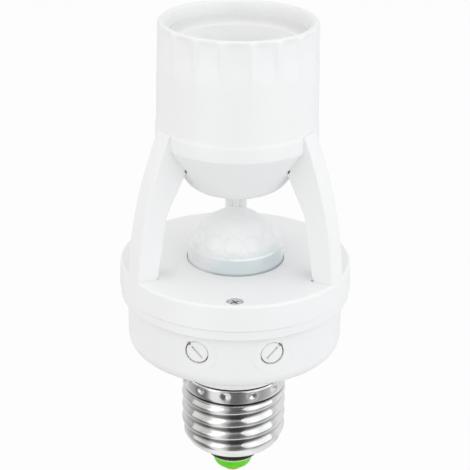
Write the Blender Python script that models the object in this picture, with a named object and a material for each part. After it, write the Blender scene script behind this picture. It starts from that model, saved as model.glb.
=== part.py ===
"""Motion sensor lamp holder: a screw cap below, a sensor dome between three arms, a lamp socket above.

Units are metres, +Z is up, and the origin is the middle of the end contact's flat face.
Azimuths are in degrees about Z, and 270 is the front, where the two trimmers are.
"""
import math

import bmesh
import bpy
from mathutils import Matrix, Vector

for item in list(bpy.data.objects):
    bpy.data.objects.remove(item, do_unlink=True)

# Clearance between two pieces that touch, and the facets of round pieces
FIT_GAP = 0.0003
TURN_STEPS = 36
PIN_STEPS = 12
PIN_TURN = 7.3
SCREW_STEPS = 10
ARC_STEPS = 3
SMALL_FILLET = 0.0005

# Screw cap: end contact, button, seal and rolled thread
CONTACT_RADIUS = 0.0024
CONTACT_HEIGHT = 0.0011
RIVET_RADIUS = 0.0011
RIVET_HEIGHT = 0.0091
BUTTON_RADIUS = 0.0053
BUTTON_HEIGHT = 0.0045
BUTTON_EDGE = 0.0027
STEM_RADIUS = 0.0040
STEM_HEIGHT = 0.0040
SEAL_RADIUS = 0.0062
SEAL_DROP = 0.0020
SEAL_FLANGE_RADIUS = 0.0090
SEAL_FLANGE_HEIGHT = 0.0014
SHELL_HEIGHT = 0.0220
SHELL_WALL = 0.00045
SHELL_CREST_RADIUS = 0.0132
SHELL_LIP_RADIUS = 0.0072
SHELL_LIP_WIDTH = 0.0007
SHELL_BAND_HEIGHT = 0.0044
SHELL_BAND_INSET = 0.0001
SHELL_TAPER_HEIGHT = 0.0051
THREAD_PITCH = 0.00363
THREAD_DEPTH = 0.0009
THREAD_CREST_FROM_TOP = 0.0093
CAP_THREAD_STEPS = 22
CAP_THREAD_ROWS = 14

# Lower housing: collar, rounded bowl, flange and the lip that the cover slips over
COLLAR_OVERHANG = 0.0006
COLLAR_HEIGHT = 0.00725
SPIGOT_WALL = 0.00075
SPIGOT_LENGTH = 0.0050
HOUSING_RADIUS = 0.02645
HOUSING_DEPTH = 0.01415
HOUSING_WALL = 0.0020
HOUSING_EDGE = 0.0034
FLANGE_OVERHANG = 0.00165
FLANGE_THICKNESS = 0.0025
LIP_HEIGHT = 0.0026
LIP_WALL = 0.0015

# Cover plate and skirt
SKIRT_OVERHANG = 0.0003
SKIRT_HEIGHT = 0.0061
SKIRT_WALL = 0.0019
SKIRT_DRAFT = 0.0003
PLATE_THICKNESS = 0.0020
PLATE_EDGE = 0.0006

# Screws that hold the cover to the housing
COVER_SCREW_AZIMUTHS = (270, 30, 150)
COVER_SCREW_INSET = 0.00165
COVER_SCREW_RADIUS = 0.0009
COVER_SCREW_LENGTH = 0.0105
SCREW_HEAD_RADIUS = 0.0018
SCREW_HEAD_HEIGHT = 0.0009
SCREW_HEAD_SINK = 0.0004
SCREW_RECESS_RADIUS = 0.0023
SCREW_PAD_RADIUS = 0.0030
SCREW_PAD_HEIGHT = 0.0011
SCREW_CROSS_LENGTH = 0.0022
SCREW_CROSS_WIDTH = 0.0005
SCREW_CROSS_DEPTH = 0.0005
COVER_BOSS_RADIUS = 0.0024
COVER_BOSS_INSET = 0.0011

# Sensor dome and its holding ring
DOME_RADIUS = 0.0117
DOME_WALL = 0.0009
DOME_FLANGE_WIDTH = 0.0018
DOME_FLANGE_HEIGHT = 0.0011
DOME_RISE = 0.0001
DOME_ROWS = 8
LENSLET_ROWS = ((9, 24), (9, 47), (5, 70))
LENSLET_RADIUS = 0.0023
LENSLET_HEIGHT = 0.0003
RETAINER_HEIGHT = 0.0012
RETAINER_WIDTH = 0.0040

# Arms between the cover and the socket cup
ARM_AZIMUTHS = (90, 210, 330)
ARM_WIDTH = 0.0056
ARM_FOOT_DEPTH = 0.0053
ARM_KNEE_DEPTH = 0.0059
ARM_KNEE_HEIGHT = 0.0157
ARM_KNEE_ROUND = 0.0120
ARM_FOOT_LEAN = 2.9
ARM_TOP_ABOVE_CUP_FOOT = 0.0060
ARM_WEB = 0.00135
ARM_SLICES = 2
ARM_CURVE_STEPS = 7
CHANNEL_WIDTH = 0.0031
CHANNEL_PORT_HEIGHT = 0.0037
CHANNEL_PORT_ABOVE_BOWL_FOOT = 0.0057
CHANNEL_MOUTH = 0.0011
LAMP_GAP = 0.0186

# Socket cup and the bowl that closes it
BOWL_HEIGHT = 0.0129
BOWL_SLOPE = 0.663
BOWL_EDGE = 0.0060
BOWL_FLOOR = 0.0020
BOWL_WELL_RADIUS = 0.0130
CUP_HEIGHT = 0.0281
CUP_FOOT_RADIUS = 0.0194
CUP_WAIST_RADIUS = 0.0191
CUP_RIM_RADIUS = 0.0187
CUP_BORE = 0.01625
CUP_SEAT_BELOW_FOOT = 0.0023
RIM_EDGE = 0.0008
CUP_STEPS = 36
FLUTE_COUNT = 18
FLUTE_DEPTH = 0.0005
FLUTE_LENGTH = 0.0095
FLUTE_RIDGE_AZIMUTH = 279

# Socket insert, threaded contact and centre tongue
INSERT_WALL = 0.0014
INSERT_BASE_THICKNESS = 0.0035
INSERT_TOP_BELOW_RIM = 0.0030
SOCKET_CREST_RADIUS = 0.0123
SOCKET_WALL = 0.0004
SOCKET_HEIGHT = 0.0165
SOCKET_FLANGE_RADIUS = 0.0105
SOCKET_THREAD_STEPS = 20
SOCKET_THREAD_ROWS = 10
TONGUE_LENGTH = 0.0100
TONGUE_WIDTH = 0.0040
TONGUE_SHEET = 0.0004
TONGUE_RISE = 0.0022
SOCKET_SCREW_CIRCLE = 0.0078
SOCKET_SCREW_RADIUS = 0.0009
SOCKET_SCREW_LENGTH = 0.0080
SOCKET_BOSS_RADIUS = 0.0021

# Trimmer knobs and bodies
KNOB_AZIMUTHS = {"time_knob": 250.5, "lux_knob": 289.9}
KNOB_POINTERS = {"time_knob": 45, "lux_knob": -45}
KNOB_BELOW_FLANGE = 0.0048
KNOB_RADIUS = 0.0026
KNOB_THICKNESS = 0.0016
KNOB_RING_GAP = 0.00045
KNOB_SINK = 0.0004
KNOB_STEM_RADIUS = 0.0011
KNOB_SLOT_LENGTH = 0.0042
KNOB_SLOT_WIDTH = 0.0006
KNOB_SLOT_DEPTH = 0.0006
KNOB_NOTCH_RADIUS = 0.0005
TRIMMER_DEPTH = 0.0050
TRIMMER_WIDTH = 0.0072
TRIMMER_BEHIND_WALL = 0.0009

# Circuit board and what it carries; places on it are shares of its radius
BOARD_BELOW_FLANGE_TOP = 0.0013
BOARD_THICKNESS = 0.0016
BOARD_CLEARANCE = 0.0006
BOARD_BOSS_RADIUS = 0.0021
BOARD_BOSS_INSET = 0.00495
BOARD_BOSS_AZIMUTHS = (0, 180)
BOARD_SCREW_RADIUS = 0.0009
BOARD_SCREW_LENGTH = 0.0060
SENSOR_CAN_RADIUS = 0.0046
SENSOR_CAN_HEIGHT = 0.0040
SENSOR_BRIM = 0.0005
SENSOR_SPACER_HEIGHT = 0.0024
SENSOR_WINDOW = (0.0044, 0.0034, 0.0005)
PHOTOCELL_RADIUS = 0.0020
PHOTOCELL_HEIGHT = 0.0026
PHOTOCELL_AZIMUTH = 320
PHOTOCELL_GAP = 0.0010
RELAY_SIZE = (0.0190, 0.0100, 0.0102)
RELAY_PLACE = (0.0, 0.440)
FILM_CAPACITOR_SIZE = (0.0060, 0.0130, 0.0090)
FILM_CAPACITOR_BOSS_GAP = 0.0019
FILM_CAPACITOR_SHARE = -0.252
SMOOTHING_CAPACITOR_RADIUS = 0.0036
SMOOTHING_CAPACITOR_HEIGHT = 0.0095
SMOOTHING_CAPACITOR_PLACE = (0.545, -0.335)
CHIP_SIZE = (0.0086, 0.0040, 0.0015)
CHIP_PLACE = (-0.545, 0.335)
DIODE_RADIUS = 0.0011
DIODE_LENGTH = 0.0042
DIODE_PLACES = ((0.524, 0.168), (0.524, 0.294), (0.524, 0.419), (0.524, 0.545))
RESISTOR_RADIUS = 0.0009
RESISTOR_LENGTH = 0.0050
RESISTOR_PLACES = ((-0.545, -0.084), (-0.545, -0.210), (-0.545, -0.335), (0.566, -0.126))

# Wires
LAMP_WIRE_RADIUS = 0.0009
SUPPLY_WIRE_RADIUS = 0.0006
LAMP_LIVE_AZIMUTH = 90
LAMP_NEUTRAL_AZIMUTH = 330

# Heights of the stack, from the contact face up
BUTTON_FOOT = CONTACT_HEIGHT + FIT_GAP
BUTTON_TOP = BUTTON_FOOT + BUTTON_HEIGHT
SEAL_FOOT = BUTTON_TOP + FIT_GAP
SHELL_FOOT = SEAL_FOOT + SEAL_DROP
SHELL_TOP = SHELL_FOOT + SHELL_HEIGHT
COLLAR_FOOT = SHELL_TOP + FIT_GAP
HOUSING_FOOT = COLLAR_FOOT + COLLAR_HEIGHT
HOUSING_FLOOR = HOUSING_FOOT + HOUSING_WALL
FLANGE_FOOT = HOUSING_FOOT + HOUSING_DEPTH
FLANGE_TOP = FLANGE_FOOT + FLANGE_THICKNESS
LIP_TOP = FLANGE_TOP + LIP_HEIGHT
SKIRT_FOOT = FLANGE_TOP + FIT_GAP
PLATE_TOP = SKIRT_FOOT + SKIRT_HEIGHT
PLATE_UNDERSIDE = PLATE_TOP - PLATE_THICKNESS
BOWL_FOOT = PLATE_TOP + LAMP_GAP
CUP_FOOT = BOWL_FOOT + BOWL_HEIGHT
CUP_RIM = CUP_FOOT + CUP_HEIGHT
CUP_SEAT = CUP_FOOT - CUP_SEAT_BELOW_FOOT
ARM_TOP = CUP_FOOT + ARM_TOP_ABOVE_CUP_FOOT
BOARD_UNDERSIDE = FLANGE_TOP - BOARD_BELOW_FLANGE_TOP - BOARD_THICKNESS
BOARD_TOP = BOARD_UNDERSIDE + BOARD_THICKNESS
KNOB_HEIGHT = FLANGE_FOOT - KNOB_BELOW_FLANGE
INSERT_FOOT = CUP_SEAT + FIT_GAP
INSERT_BASE_TOP = INSERT_FOOT + INSERT_BASE_THICKNESS
WELL_FLOOR = BOWL_FOOT + BOWL_FLOOR
CHANNEL_PORT = BOWL_FOOT + CHANNEL_PORT_ABOVE_BOWL_FOOT
ARM_MEET_HEIGHT = CHANNEL_PORT + CHANNEL_MOUTH
DOME_CENTRE = PLATE_TOP + DOME_RISE
DOME_FLANGE_TOP = PLATE_UNDERSIDE - FIT_GAP
DOME_FLANGE_FOOT = DOME_FLANGE_TOP - DOME_FLANGE_HEIGHT
PAD_FOOT = PLATE_UNDERSIDE - SCREW_PAD_HEIGHT
HEAD_SEAT = PLATE_TOP - SCREW_HEAD_SINK - SCREW_HEAD_HEIGHT - FIT_GAP
COVER_SCREW_FOOT = HEAD_SEAT + FIT_GAP - COVER_SCREW_LENGTH
BOARD_SCREW_FOOT = BOARD_UNDERSIDE + FIT_GAP - BOARD_SCREW_LENGTH
SOCKET_SCREW_FOOT = INSERT_BASE_TOP + FIT_GAP - SOCKET_SCREW_LENGTH

# Radii that follow from the ones above
SHELL_BAND_RADIUS = SHELL_CREST_RADIUS - SHELL_BAND_INSET
SPIGOT_RADIUS = SHELL_CREST_RADIUS - THREAD_DEPTH - SHELL_WALL - FIT_GAP
COLLAR_BORE = SPIGOT_RADIUS - SPIGOT_WALL
COLLAR_RADIUS = SHELL_BAND_RADIUS + COLLAR_OVERHANG
FLANGE_RADIUS = HOUSING_RADIUS + FLANGE_OVERHANG
SKIRT_FOOT_RADIUS = FLANGE_RADIUS + SKIRT_OVERHANG
PLATE_RADIUS = SKIRT_FOOT_RADIUS - SKIRT_DRAFT
COVER_SCREW_CIRCLE = HOUSING_RADIUS - COVER_SCREW_INSET
HOUSING_BORE = HOUSING_RADIUS - HOUSING_WALL
BOARD_BOSS_CIRCLE = HOUSING_BORE - BOARD_BOSS_INSET
LIP_RADIUS = HOUSING_BORE + LIP_WALL
SKIRT_BORE = SKIRT_FOOT_RADIUS - SKIRT_WALL
DOME_HOLE_RADIUS = DOME_RADIUS + FIT_GAP
BOARD_RADIUS = HOUSING_BORE - BOARD_CLEARANCE
INSERT_RADIUS = CUP_BORE - FIT_GAP
INSERT_BORE = INSERT_RADIUS - INSERT_WALL
COVER_BOSS_CIRCLE = COVER_SCREW_CIRCLE - COVER_BOSS_INSET
TRIMMER_FRONT = HOUSING_BORE - TRIMMER_BEHIND_WALL
SOCKET_SCREW_PLACES = (-SOCKET_SCREW_CIRCLE, SOCKET_SCREW_CIRCLE)


def finish(name, colour, roughness, metallic=0.0, alpha=1.0):
    """A plain Principled material."""
    material = bpy.data.materials.new(name)
    material.use_nodes = True
    shader = material.node_tree.nodes["Principled BSDF"]
    shader.inputs["Base Color"].default_value = (*colour, 1.0)
    shader.inputs["Roughness"].default_value = roughness
    shader.inputs["Metallic"].default_value = metallic
    shader.inputs["Alpha"].default_value = alpha
    return material


WHITE_PLASTIC = finish("white_plastic", (0.90, 0.90, 0.89), 0.35)
KNOB_PLASTIC = finish("knob_plastic", (0.86, 0.86, 0.84), 0.40)
LENS_PLASTIC = finish("lens_plastic", (0.84, 0.87, 0.87), 0.18, alpha=0.75)
GREEN_PLASTIC = finish("green_plastic", (0.18, 0.62, 0.04), 0.35)
BLACK_GLASS = finish("black_glass", (0.03, 0.025, 0.02), 0.25)
NICKEL = finish("nickel", (0.72, 0.71, 0.69), 0.16, 1.0)
BRASS = finish("brass", (0.78, 0.60, 0.30), 0.30, 1.0)
CERAMIC = finish("ceramic", (0.88, 0.87, 0.84), 0.45)
STEEL = finish("steel", (0.60, 0.60, 0.60), 0.35, 1.0)
BOARD_GREEN = finish("board_green", (0.05, 0.25, 0.10), 0.50)
PART_BLACK = finish("part_black", (0.03, 0.03, 0.03), 0.45)
PART_BLUE = finish("part_blue", (0.05, 0.12, 0.45), 0.40)
PART_RED = finish("part_red", (0.50, 0.08, 0.05), 0.45)
WIRE_WHITE = finish("wire_white", (0.88, 0.88, 0.86), 0.45)
WIRE_BLUE = finish("wire_blue", (0.08, 0.20, 0.60), 0.45)


def placed(name, bm, material, smooth_angle=35.0):
    """Turns a bmesh into a named object with outward faces."""
    bmesh.ops.remove_doubles(bm, verts=bm.verts, dist=1e-7)
    bmesh.ops.recalc_face_normals(bm, faces=bm.faces)
    mesh = bpy.data.meshes.new(name)
    bm.to_mesh(mesh)
    bm.free()
    mesh.materials.append(material)
    mesh.shade_smooth()
    mesh.set_sharp_from_angle(angle=math.radians(smooth_angle))
    piece = bpy.data.objects.new(name, mesh)
    bpy.context.scene.collection.objects.link(piece)
    return piece


def rounded(corners, steps=ARC_STEPS):
    """Points of an outline whose corners (radius, height, fillet) become arcs."""
    points = []
    count = len(corners)
    for index, (x, z, fillet) in enumerate(corners):
        if fillet <= 0.0:
            points.append((x, z))
            continue
        facets = steps if fillet > SMALL_FILLET else 1
        before = corners[index - 1]
        after = corners[(index + 1) % count]
        to_before = (before[0] - x, before[1] - z)
        to_after = (after[0] - x, after[1] - z)
        length_before = math.hypot(*to_before)
        length_after = math.hypot(*to_after)
        unit_before = (to_before[0] / length_before, to_before[1] / length_before)
        unit_after = (to_after[0] / length_after, to_after[1] / length_after)
        cosine = unit_before[0] * unit_after[0] + unit_before[1] * unit_after[1]
        half_angle = math.acos(max(-1.0, min(1.0, cosine))) / 2.0
        reach = min(fillet / math.tan(half_angle), 0.48 * min(length_before, length_after))
        radius = reach * math.tan(half_angle)
        middle = (unit_before[0] + unit_after[0], unit_before[1] + unit_after[1])
        scale = radius / math.sin(half_angle) / math.hypot(*middle)
        centre = (x + middle[0] * scale, z + middle[1] * scale)
        start = math.atan2(z + unit_before[1] * reach - centre[1], x + unit_before[0] * reach - centre[0])
        end = math.atan2(z + unit_after[1] * reach - centre[1], x + unit_after[0] * reach - centre[0])
        sweep = (end - start + math.pi) % (2.0 * math.pi) - math.pi
        for step in range(facets + 1):
            angle = start + sweep * step / facets
            points.append((centre[0] + radius * math.cos(angle), centre[1] + radius * math.sin(angle)))
    return points


def lathe(bm, outline, steps, start=0.0):
    """Turns an outline of (radius, height) points about Z, looped unless both its ends are on the axis."""
    rings = []
    for radius, height in outline:
        if radius < 1e-7:
            rings.append([bm.verts.new((0.0, 0.0, height))] * steps)
            continue
        turns = [math.radians(start) + 2.0 * math.pi * step / steps for step in range(steps)]
        rings.append([bm.verts.new((radius * math.cos(turn), radius * math.sin(turn), height))
                      for turn in turns])
    pairs = list(zip(rings[:-1], rings[1:]))
    if outline[0][0] > 1e-7 or outline[-1][0] > 1e-7:
        pairs.append((rings[-1], rings[0]))
    for ring, following in pairs:
        for step in range(steps):
            after = (step + 1) % steps
            corners = dict.fromkeys((ring[step], ring[after], following[after], following[step]))
            if len(corners) > 2:
                bm.faces.new(corners)
    return list(dict.fromkeys(vert for ring in rings for vert in ring))


def turned(name, outline, material, steps=TURN_STEPS, start=0.0, reshape=None):
    """A turned piece on the Z axis; reshape gives a new radius from (radius, angle, height)."""
    bm = bmesh.new()
    for vert in lathe(bm, outline, steps, start):
        radius = math.hypot(vert.co.x, vert.co.y)
        if reshape and radius > 1e-6:
            angle = math.atan2(vert.co.y, vert.co.x)
            scale = reshape(radius, angle, vert.co.z) / radius
            vert.co.x *= scale
            vert.co.y *= scale
    return placed(name, bm, material)


def turned_group(name, shapes, material, steps=PIN_STEPS):
    """Several separate turned bodies in one object; each shape is an outline and its placement."""
    bm = bmesh.new()
    for outline, placement in shapes:
        bmesh.ops.transform(bm, matrix=placement, verts=lathe(bm, outline, steps, PIN_TURN))
    return placed(name, bm, material)


def box_group(name, shapes, material):
    """Several separate boxes in one object; each shape is a size and a placement."""
    bm = bmesh.new()
    for size, placement in shapes:
        bmesh.ops.create_cube(bm, size=1.0, matrix=placement @ Matrix.Diagonal((*size, 1.0)))
    return placed(name, bm, material)


def extruded(name, outline, width, material, across=1, bend=None):
    """A slab whose outline lies in the XZ plane, centred on Y, sliced across its width if it bends."""
    bm = bmesh.new()
    rings = []
    for slice_index in range(across + 1):
        y = width * (slice_index / across - 0.5)
        rings.append([bm.verts.new((bend(x, y) if bend else x, y, z)) for x, z in outline])
    bm.faces.new(rings[0])
    bm.faces.new(rings[-1][::-1])
    for ring, following in zip(rings[:-1], rings[1:]):
        for index in range(len(outline)):
            after = (index + 1) % len(outline)
            bm.faces.new((ring[index], following[index], following[after], ring[after]))
    return placed(name, bm, material)


def block(name, size, material, place, bevel=0.0, azimuth=0.0):
    """A box with its middle at the place given, and bevelled edges where asked."""
    bm = bmesh.new()
    bmesh.ops.create_cube(bm, size=1.0)
    bmesh.ops.scale(bm, vec=size, verts=bm.verts)
    if bevel > 0.0:
        bmesh.ops.bevel(bm, geom=bm.edges, offset=bevel, segments=1, affect="EDGES")
    piece = placed(name, bm, material, 20.0)
    piece.location = place
    piece.rotation_euler = (0.0, 0.0, math.radians(azimuth))
    return piece


def combine(piece, other, operation):
    """Joins or cuts with another object by a Boolean modifier; the other object is then only a guide."""
    other.hide_render = True
    other.display_type = "WIRE"
    modifier = piece.modifiers.new(operation.lower() + "_" + other.name, "BOOLEAN")
    modifier.operation = operation
    modifier.solver = "EXACT"
    modifier.object = other


def post(radius, foot, top):
    """Outline of a plain upright cylinder."""
    return [(0.0, foot), (radius, foot), (radius, top), (0.0, top)]


def on_circle(radius, azimuth, height=0.0):
    """Placement of a point at a radius and an azimuth."""
    angle = math.radians(azimuth)
    return Vector((radius * math.cos(angle), radius * math.sin(angle), height))


def outward(radius, azimuth, height):
    """Placement that turns local +Z to point out of the wall, with local +Y up."""
    quarter = math.pi / 2.0
    about = Matrix.Rotation(math.radians(azimuth) + quarter, 4, "Z") @ Matrix.Rotation(quarter, 4, "X")
    return Matrix.Translation(on_circle(radius, azimuth, height)) @ about


def smooth_step(value):
    """Eases from 0 to 1."""
    value = max(0.0, min(1.0, value))
    return value * value * (3.0 - 2.0 * value)


def spaced(first, last, count):
    """Evenly spaced values, both ends included."""
    return [first + (last - first) * index / count for index in range(count + 1)]


def make_end_contact():
    """Rivet of the end contact: a flat head and a shank up through the button."""
    top = CONTACT_HEIGHT + RIVET_HEIGHT
    corners = [(0.0, 0.0, 0.0), (CONTACT_RADIUS, 0.0, CONTACT_HEIGHT * 0.4),
               (CONTACT_RADIUS, CONTACT_HEIGHT, 0.0), (RIVET_RADIUS, CONTACT_HEIGHT, 0.0),
               (RIVET_RADIUS, top, 0.0), (0.0, top, 0.0)]
    turned("end_contact", rounded(corners), BRASS, 16)


def make_cap_insulator():
    """Green button with a rounded underside and a stem that holds it in the seal."""
    bore = RIVET_RADIUS + FIT_GAP
    corners = [(bore, BUTTON_FOOT, 0.0), (BUTTON_RADIUS, BUTTON_FOOT, BUTTON_EDGE),
               (BUTTON_RADIUS, BUTTON_TOP, FIT_GAP), (STEM_RADIUS, BUTTON_TOP, 0.0),
               (STEM_RADIUS, BUTTON_TOP + STEM_HEIGHT, 0.0), (bore, BUTTON_TOP + STEM_HEIGHT, 0.0)]
    turned("cap_insulator", rounded(corners), GREEN_PLASTIC, CAP_THREAD_STEPS)


def make_cap_seal():
    """Dark ring between the button and the shell's lip, with a flange that rests inside the shell."""
    bore = STEM_RADIUS + FIT_GAP
    neck = SHELL_LIP_RADIUS - FIT_GAP
    flange_foot = SHELL_FOOT + SHELL_TAPER_HEIGHT / 3.0 + SHELL_WALL + FIT_GAP
    flange_top = flange_foot + SEAL_FLANGE_HEIGHT
    outline = [(bore, SEAL_FOOT), (SEAL_RADIUS, SEAL_FOOT), (neck, SHELL_FOOT), (neck, flange_foot),
               (SEAL_FLANGE_RADIUS, flange_foot), (SEAL_FLANGE_RADIUS, flange_top), (bore, flange_top)]
    turned("cap_seal", outline, BLACK_GLASS, CAP_THREAD_STEPS)


def thread_wave(angle, height, crest_height):
    """A rounded right-hand thread, +1 at its crest; crest_height is the crest's height at the front."""
    turns = (angle - math.radians(270.0)) / (2.0 * math.pi)
    return math.cos(2.0 * math.pi * ((height - crest_height) / THREAD_PITCH - turns))


def make_screw_shell():
    """Rolled sheet shell: plain band, rounded thread, then a taper that curls in to the lip."""
    thread_foot = SHELL_FOOT + SHELL_TAPER_HEIGHT
    band_foot = SHELL_TOP - SHELL_BAND_HEIGHT
    middle_radius = SHELL_CREST_RADIUS - THREAD_DEPTH / 2.0
    lip_edge = SHELL_LIP_RADIUS + SHELL_LIP_WIDTH
    taper = [(SHELL_LIP_RADIUS, SHELL_FOOT), (lip_edge, SHELL_FOOT),
             (lip_edge + 0.68 * (middle_radius - lip_edge), SHELL_FOOT + SHELL_TAPER_HEIGHT / 3.0),
             (lip_edge + 0.95 * (middle_radius - lip_edge), SHELL_FOOT + SHELL_TAPER_HEIGHT * 2.0 / 3.0)]
    outer = taper + [(middle_radius, z) for z in spaced(thread_foot, band_foot, CAP_THREAD_ROWS)]
    outer += [(SHELL_BAND_RADIUS, band_foot + THREAD_PITCH * 0.2), (SHELL_BAND_RADIUS, SHELL_TOP)]
    inner = [(SHELL_LIP_RADIUS, SHELL_FOOT + SHELL_WALL)]
    for index, (r, z) in enumerate(outer[1:]):
        inner.append((r - SHELL_WALL, z + SHELL_WALL if index < 2 else z))
    wave_foot = SHELL_FOOT + SHELL_TAPER_HEIGHT * 0.5
    crest = SHELL_TOP - THREAD_CREST_FROM_TOP

    def roll_thread(radius, angle, height):
        fade = smooth_step((height - wave_foot) / (THREAD_PITCH * 0.8))
        fade *= smooth_step((band_foot + THREAD_PITCH * 0.15 - height) / (THREAD_PITCH * 0.3))
        return radius + THREAD_DEPTH / 2.0 * fade * thread_wave(angle, height, crest)

    turned("screw_shell", outer + inner[::-1], NICKEL, CAP_THREAD_STEPS, reshape=roll_thread)


def make_lower_housing():
    """Moulded lower half: spigot in the shell, collar, rounded bowl, flange and lip, with its bosses."""
    spigot_foot = COLLAR_FOOT - SPIGOT_LENGTH
    corners = [(COLLAR_BORE, spigot_foot, 0.0), (SPIGOT_RADIUS, spigot_foot, 0.0),
               (SPIGOT_RADIUS, COLLAR_FOOT, 0.0), (COLLAR_RADIUS, COLLAR_FOOT, 0.0),
               (COLLAR_RADIUS, HOUSING_FOOT, 0.0), (HOUSING_RADIUS, HOUSING_FOOT, HOUSING_EDGE),
               (HOUSING_RADIUS, FLANGE_FOOT, 0.0), (FLANGE_RADIUS, FLANGE_FOOT, 0.0),
               (FLANGE_RADIUS, FLANGE_TOP, 0.0), (LIP_RADIUS, FLANGE_TOP, 0.0), (LIP_RADIUS, LIP_TOP, 0.0),
               (HOUSING_BORE, LIP_TOP, 0.0), (HOUSING_BORE, HOUSING_FLOOR, HOUSING_EDGE - HOUSING_WALL),
               (COLLAR_BORE, HOUSING_FLOOR, 0.0)]
    housing = turned("lower_housing", rounded(corners), WHITE_PLASTIC)
    cover_boss_top = PAD_FOOT - FIT_GAP
    board_boss_top = BOARD_UNDERSIDE - FIT_GAP
    bosses = []
    holes = []
    for azimuth in COVER_SCREW_AZIMUTHS:
        bosses.append((post(COVER_BOSS_RADIUS, HOUSING_FOOT + HOUSING_EDGE, cover_boss_top),
                       Matrix.Translation(on_circle(COVER_BOSS_CIRCLE, azimuth))))
        holes.append((post(COVER_SCREW_RADIUS + FIT_GAP, COVER_SCREW_FOOT - FIT_GAP, cover_boss_top + FIT_GAP),
                      Matrix.Translation(on_circle(COVER_SCREW_CIRCLE, azimuth))))
    for azimuth in BOARD_BOSS_AZIMUTHS:
        place = Matrix.Translation(on_circle(BOARD_BOSS_CIRCLE, azimuth))
        bosses.append((post(BOARD_BOSS_RADIUS, HOUSING_FLOOR - HOUSING_WALL / 2.0, board_boss_top), place))
        hole = post(BOARD_SCREW_RADIUS + FIT_GAP, BOARD_SCREW_FOOT - FIT_GAP, board_boss_top + FIT_GAP)
        holes.append((hole, place))
    for azimuth in KNOB_AZIMUTHS.values():
        holes.append((post(KNOB_RADIUS + KNOB_RING_GAP, -2.0 * HOUSING_WALL, HOUSING_WALL),
                      outward(HOUSING_RADIUS, azimuth, KNOB_HEIGHT)))
    combine(housing, turned_group("housing_bosses", bosses, WHITE_PLASTIC), "UNION")
    combine(housing, turned_group("housing_holes", holes, WHITE_PLASTIC), "DIFFERENCE")


def bowl_outline():
    """Outside of the bowl from the axis to the cup's foot: a flat floor, a rounded edge and a cone."""
    foot_radius = CUP_FOOT_RADIUS - BOWL_SLOPE * BOWL_HEIGHT
    corners = [(0.0, BOWL_FOOT, 0.0), (foot_radius, BOWL_FOOT, BOWL_EDGE), (CUP_FOOT_RADIUS, CUP_FOOT, 0.0)]
    return rounded(corners)


def make_cup():
    """Fluted socket cup closed by the bowl, open at the rim."""
    flute_foot = CUP_RIM - FLUTE_LENGTH
    rim_edge = CUP_RIM - RIM_EDGE
    outer = [(CUP_FOOT_RADIUS, CUP_FOOT + CUP_SEAT_BELOW_FOOT)]
    for z in spaced(flute_foot, rim_edge, 4):
        share = (z - flute_foot) / (CUP_RIM - flute_foot)
        outer.append((CUP_WAIST_RADIUS + (CUP_RIM_RADIUS - CUP_WAIST_RADIUS) * share, z))
    outer.append((CUP_RIM_RADIUS - RIM_EDGE * 0.6, CUP_RIM))
    inner = [(CUP_BORE + RIM_EDGE / 2.0, CUP_RIM), (CUP_BORE, CUP_RIM - RIM_EDGE / 2.0), (CUP_BORE, CUP_SEAT),
             (BOWL_WELL_RADIUS, CUP_SEAT)]
    well_floor_radius = BOWL_WELL_RADIUS - BOWL_SLOPE * (CUP_SEAT - WELL_FLOOR)
    inner += rounded([(BOWL_WELL_RADIUS, CUP_SEAT, 0.0), (well_floor_radius, WELL_FLOOR, BOWL_EDGE / 3.0),
                      (0.0, WELL_FLOOR, 0.0)], 1)[1:]

    def cut_flutes(radius, angle, height):
        if radius < (CUP_BORE + CUP_RIM_RADIUS) / 2.0 or height < CUP_FOOT + FIT_GAP:
            return radius
        scallop = abs(math.sin(FLUTE_COUNT / 2.0 * (angle - math.radians(FLUTE_RIDGE_AZIMUTH))))
        ramp = smooth_step((height - flute_foot) / (FLUTE_LENGTH * 0.5))
        ramp *= 1.0 - smooth_step((height - rim_edge) / (CUP_RIM - rim_edge))
        return radius - FLUTE_DEPTH * ramp * scallop

    return turned("upper_body", bowl_outline() + outer + inner, WHITE_PLASTIC, CUP_STEPS,
                  FLUTE_RIDGE_AZIMUTH, cut_flutes)


def make_cover():
    """Plate with the dome's hole, and the skirt that slips over the housing's lip."""
    corners = [(DOME_HOLE_RADIUS, PLATE_UNDERSIDE, 0.0), (SKIRT_BORE, PLATE_UNDERSIDE, 0.0),
               (SKIRT_BORE, SKIRT_FOOT, 0.0), (SKIRT_FOOT_RADIUS, SKIRT_FOOT, 0.0),
               (PLATE_RADIUS, PLATE_TOP, PLATE_EDGE), (DOME_HOLE_RADIUS, PLATE_TOP, 0.0)]
    return turned("cover_disc", rounded(corners, 2), WHITE_PLASTIC)


def arm_outer(height):
    """Radius of the arms' outer face: an arc from the plate's edge to the cup, leaning in as it rises."""
    lean = math.radians(ARM_FOOT_LEAN)
    rise = ARM_TOP - PLATE_TOP
    run = PLATE_RADIUS - (CUP_WAIST_RADIUS + CUP_FOOT_RADIUS) / 2.0
    turn = 2.0 * (math.atan2(run, rise) - lean)
    radius = math.hypot(run, rise) / (2.0 * math.sin(turn / 2.0))
    start = (PLATE_RADIUS - radius * math.cos(lean), PLATE_TOP - radius * math.sin(lean))
    sine = max(-1.0, min(1.0, (height - start[1]) / radius))
    return start[0] + radius * math.sqrt(1.0 - sine * sine)


def bowl_radius(height):
    """Radius of the bowl's cone at a height."""
    return CUP_FOOT_RADIUS - BOWL_SLOPE * (CUP_FOOT - height)


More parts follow.
